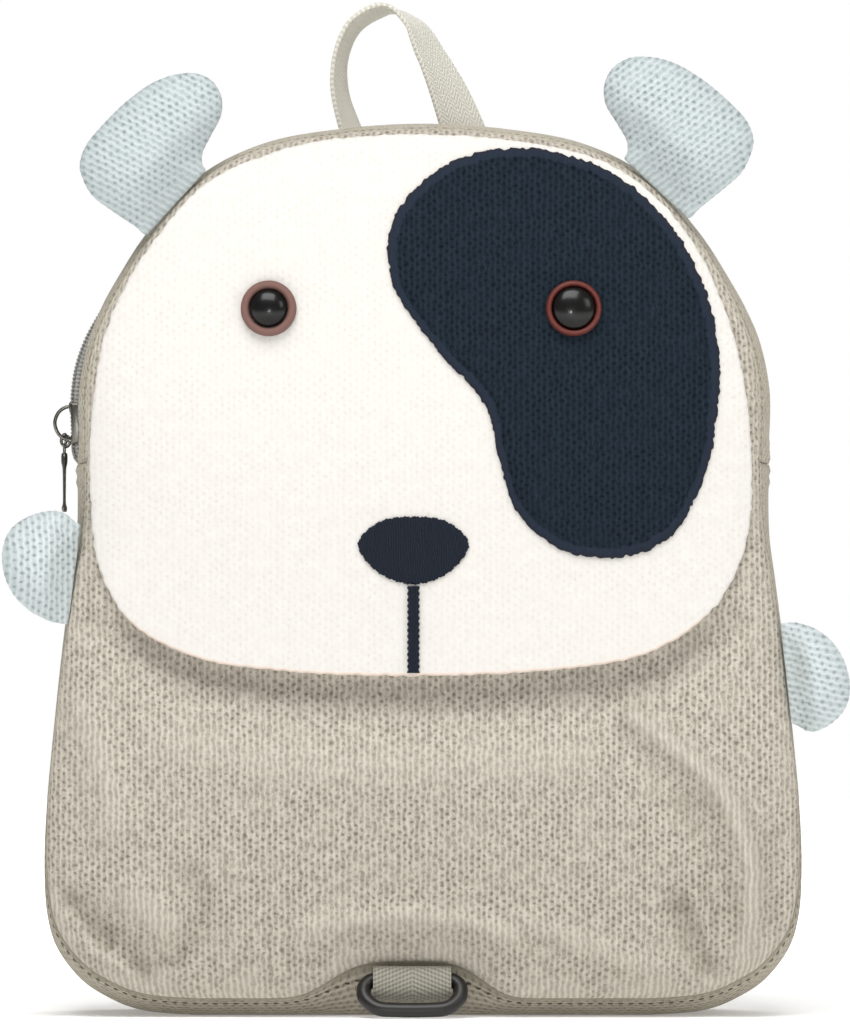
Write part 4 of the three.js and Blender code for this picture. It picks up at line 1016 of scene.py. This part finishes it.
def ringLoop(name):
    lean = math.acos(min((ringTop[2] - ring["bar"] / 2 - bag["clearance"]) / ring["drop"], 1))
    halfX, halfZ = (ring["inside"] + ring["bar"]) / 2, ring["drop"] / 2
    line = []
    for cx, cz, start in ((1, -1, -90), (1, 1, 0), (-1, 1, 90), (-1, -1, 180)):
        corner = ring["lowCorner"] if cz < 0 else ring["highCorner"]
        for turn in np.radians(np.linspace(start, start + 90, 12)):
            x = cx * (halfX - corner) + corner * math.cos(turn)
            line.append((x, cz * (halfZ - corner) + corner * math.sin(turn)))
    line.append(line[0])
    line = evenLine(np.array(line), ring["steps"])
    line[:, 1] += ring["bow"] * (line[:, 0] / halfX) ** 2 * rampUp(-line[:, 1], -1, 4)
    tangent = loopDirections(line)
    centre = ringTop + np.array([0, -math.sin(lean), -math.cos(lean)]) * halfZ

    def place(column, row):
        angle = 2 * np.pi * (column % ring["sides"]) / ring["sides"]
        step = row % ring["steps"]
        out, ahead = ring["bar"] / 2 * np.cos(angle), ring["bar"] / 2 * np.sin(angle)
        x = line[step, 0] + tangent[step, 1] * out
        up = line[step, 1] - tangent[step, 0] * out
        y = ahead * math.cos(lean) + up * math.sin(lean)
        z = up * math.cos(lean) - ahead * math.sin(lean)
        return (centre[0] + x, centre[1] + y, centre[2] + z), (x, up), ()

    return gridPiece(name, ring["sides"], ring["steps"], place)


settle(ringLoop("leashRing"), ringPlastic, "leash_ring")
print("handle, tab and ring made")

# Shoulder straps, hidden behind
padRows = [
    (0, 0, 0, 0.72, 0.45), (0.06, 0.02, 0.3, 0.86, 0.8), (0.2, 0.14, 0.7, 0.96, 1), (0.45, 0.42, 0.98, 1, 1),
    (0.72, 0.78, 1, 0.96, 1), (0.92, 0.96, 0.86, 0.8, 0.9), (1, 1, 0.78, 0.6, 0.6),
]
pad = {"length": 150, "width": 42, "thick": 8, "up": 256, "across": 30, "drift": 26, "off": 26}
web = {"width": 20, "thick": 1.6, "lowUp": 24, "lowAcross": 84, "bow": 6}
padFace = halfDepth + bag["wall"] + bag["backPuff"] + pad["thick"] / 2 + bag["clearance"]
webOff = web["thick"] + bag["clearance"]
webLow = float(backDepth(np.array([web["lowAcross"]]), np.array([web["lowUp"]]))[0]) + webOff
for side, label in ((-1, "Left"), (1, "Right")):
    rows = []
    for down, drift, off, wide, thick in padRows:
        x, z = side * (pad["across"] + drift * pad["drift"]), pad["up"] - down * pad["length"]
        rows.append((x, padFace + off * pad["off"], z, wide * pad["width"], thick * pad["thick"], 0))
    padSpec = {"rows": rows, "steps": 90, "sides": 48, "roundness": 0.6}
    strapPad = sweptPiece("strapPad" + label, padSpec)
    settle(strapPad, gussetKnit, "strap_pad_" + label.lower())
    start = np.array(rows[-1][:3]) - [0, 0, webOff]
    fall = np.array([side * web["lowAcross"], webLow, web["lowUp"]]) - start
    rows = []
    for share in (0, 0.3, 0.6, 0.85, 1):
        x, y, z = start + fall * [share ** 1.2, share, share]
        y += web["bow"] * math.sin(math.pi * share) * (1 - share)
        rows.append((x, y, z, web["width"], web["thick"], 0))
    webSpec = {"rows": rows, "steps": 60, "sides": 32, "roundness": 0.25}
    strapWeb = sweptPiece("strapWeb" + label, webSpec)
    settle(strapWeb, webbingCloth, "strap_web_" + label.lower())
print("straps made")

# Studio: a pale round floor that glows, brightly far off and faintly near the bag, soft lights and the
# camera
work = bmesh.new()
bmesh.ops.create_circle(work, cap_ends=True, segments=96, radius=3)
studioFloor = addPiece("studioFloor", work)
paper, paperTree, paperShader = startMaterial(
    "paper", Roughness=0.9, Base_Color=(0.93, 0.93, 0.92, 1), Emission_Color=(1, 1, 1, 1))
paperPlace = node(paperTree, "TexCoord", [], output=3)
farOff = node(paperTree, "VectorMath", [(0, paperPlace)], output=1, operation="LENGTH")
paperTree.links.new(ramp(paperTree, farOff, 0.2, 0.9, 0.22, 1), paperShader.inputs["Emission Strength"])
studioFloor.data.materials.append(paper)


def softLight(name, place, aim, size, power):
    lamp = bpy.data.lights.new(name, "AREA")
    lamp.shape = "RECTANGLE"
    lamp.size, lamp.size_y = size
    lamp.energy = power
    holder = bpy.data.objects.new(name, lamp)
    holder.location = place
    holder.rotation_mode = "QUATERNION"
    holder.rotation_quaternion = (Vector(aim) - Vector(place)).to_track_quat("-Z", "Y")
    scene.collection.objects.link(holder)


softLight("keyLight", (-0.15, -0.85, 1.45), (0, 0, 0.12), (1.2, 1), 24.5)
softLight("rightLight", (1.2, -0.9, 0.8), (0, 0, 0.12), (0.6, 0.6), 4)
softLight("backLight", (0.3, 1.7, 1.1), (0, 0, 0.14), (1, 0.8), 17)
softLight("spotLight", (-0.12, -2.6, 0.08), (0, 0, 0.15), (0.1, 0.08), 6)
world = bpy.data.worlds.new("studioWorld")
world.use_nodes = True
seen = node(world.node_tree, "LightPath", [])
sky = world.node_tree.nodes["Background"]
sky.inputs["Color"].default_value = (1, 1, 1, 1)
world.node_tree.links.new(calc(world.node_tree, "MULTIPLY_ADD", seen, 0.75, 0.25), sky.inputs["Strength"])
scene.world = world
scene.view_settings.view_transform = "Standard"

cameraData = bpy.data.cameras.new("camera")
cameraData.lens = 450
cameraData.clip_end = 60
camera = bpy.data.objects.new("camera", cameraData)
camera.location = (0.0006, -4.04, 0.158)
camera.rotation_euler = (math.radians(90), 0, 0)
scene.collection.objects.link(camera)
scene.camera = camera
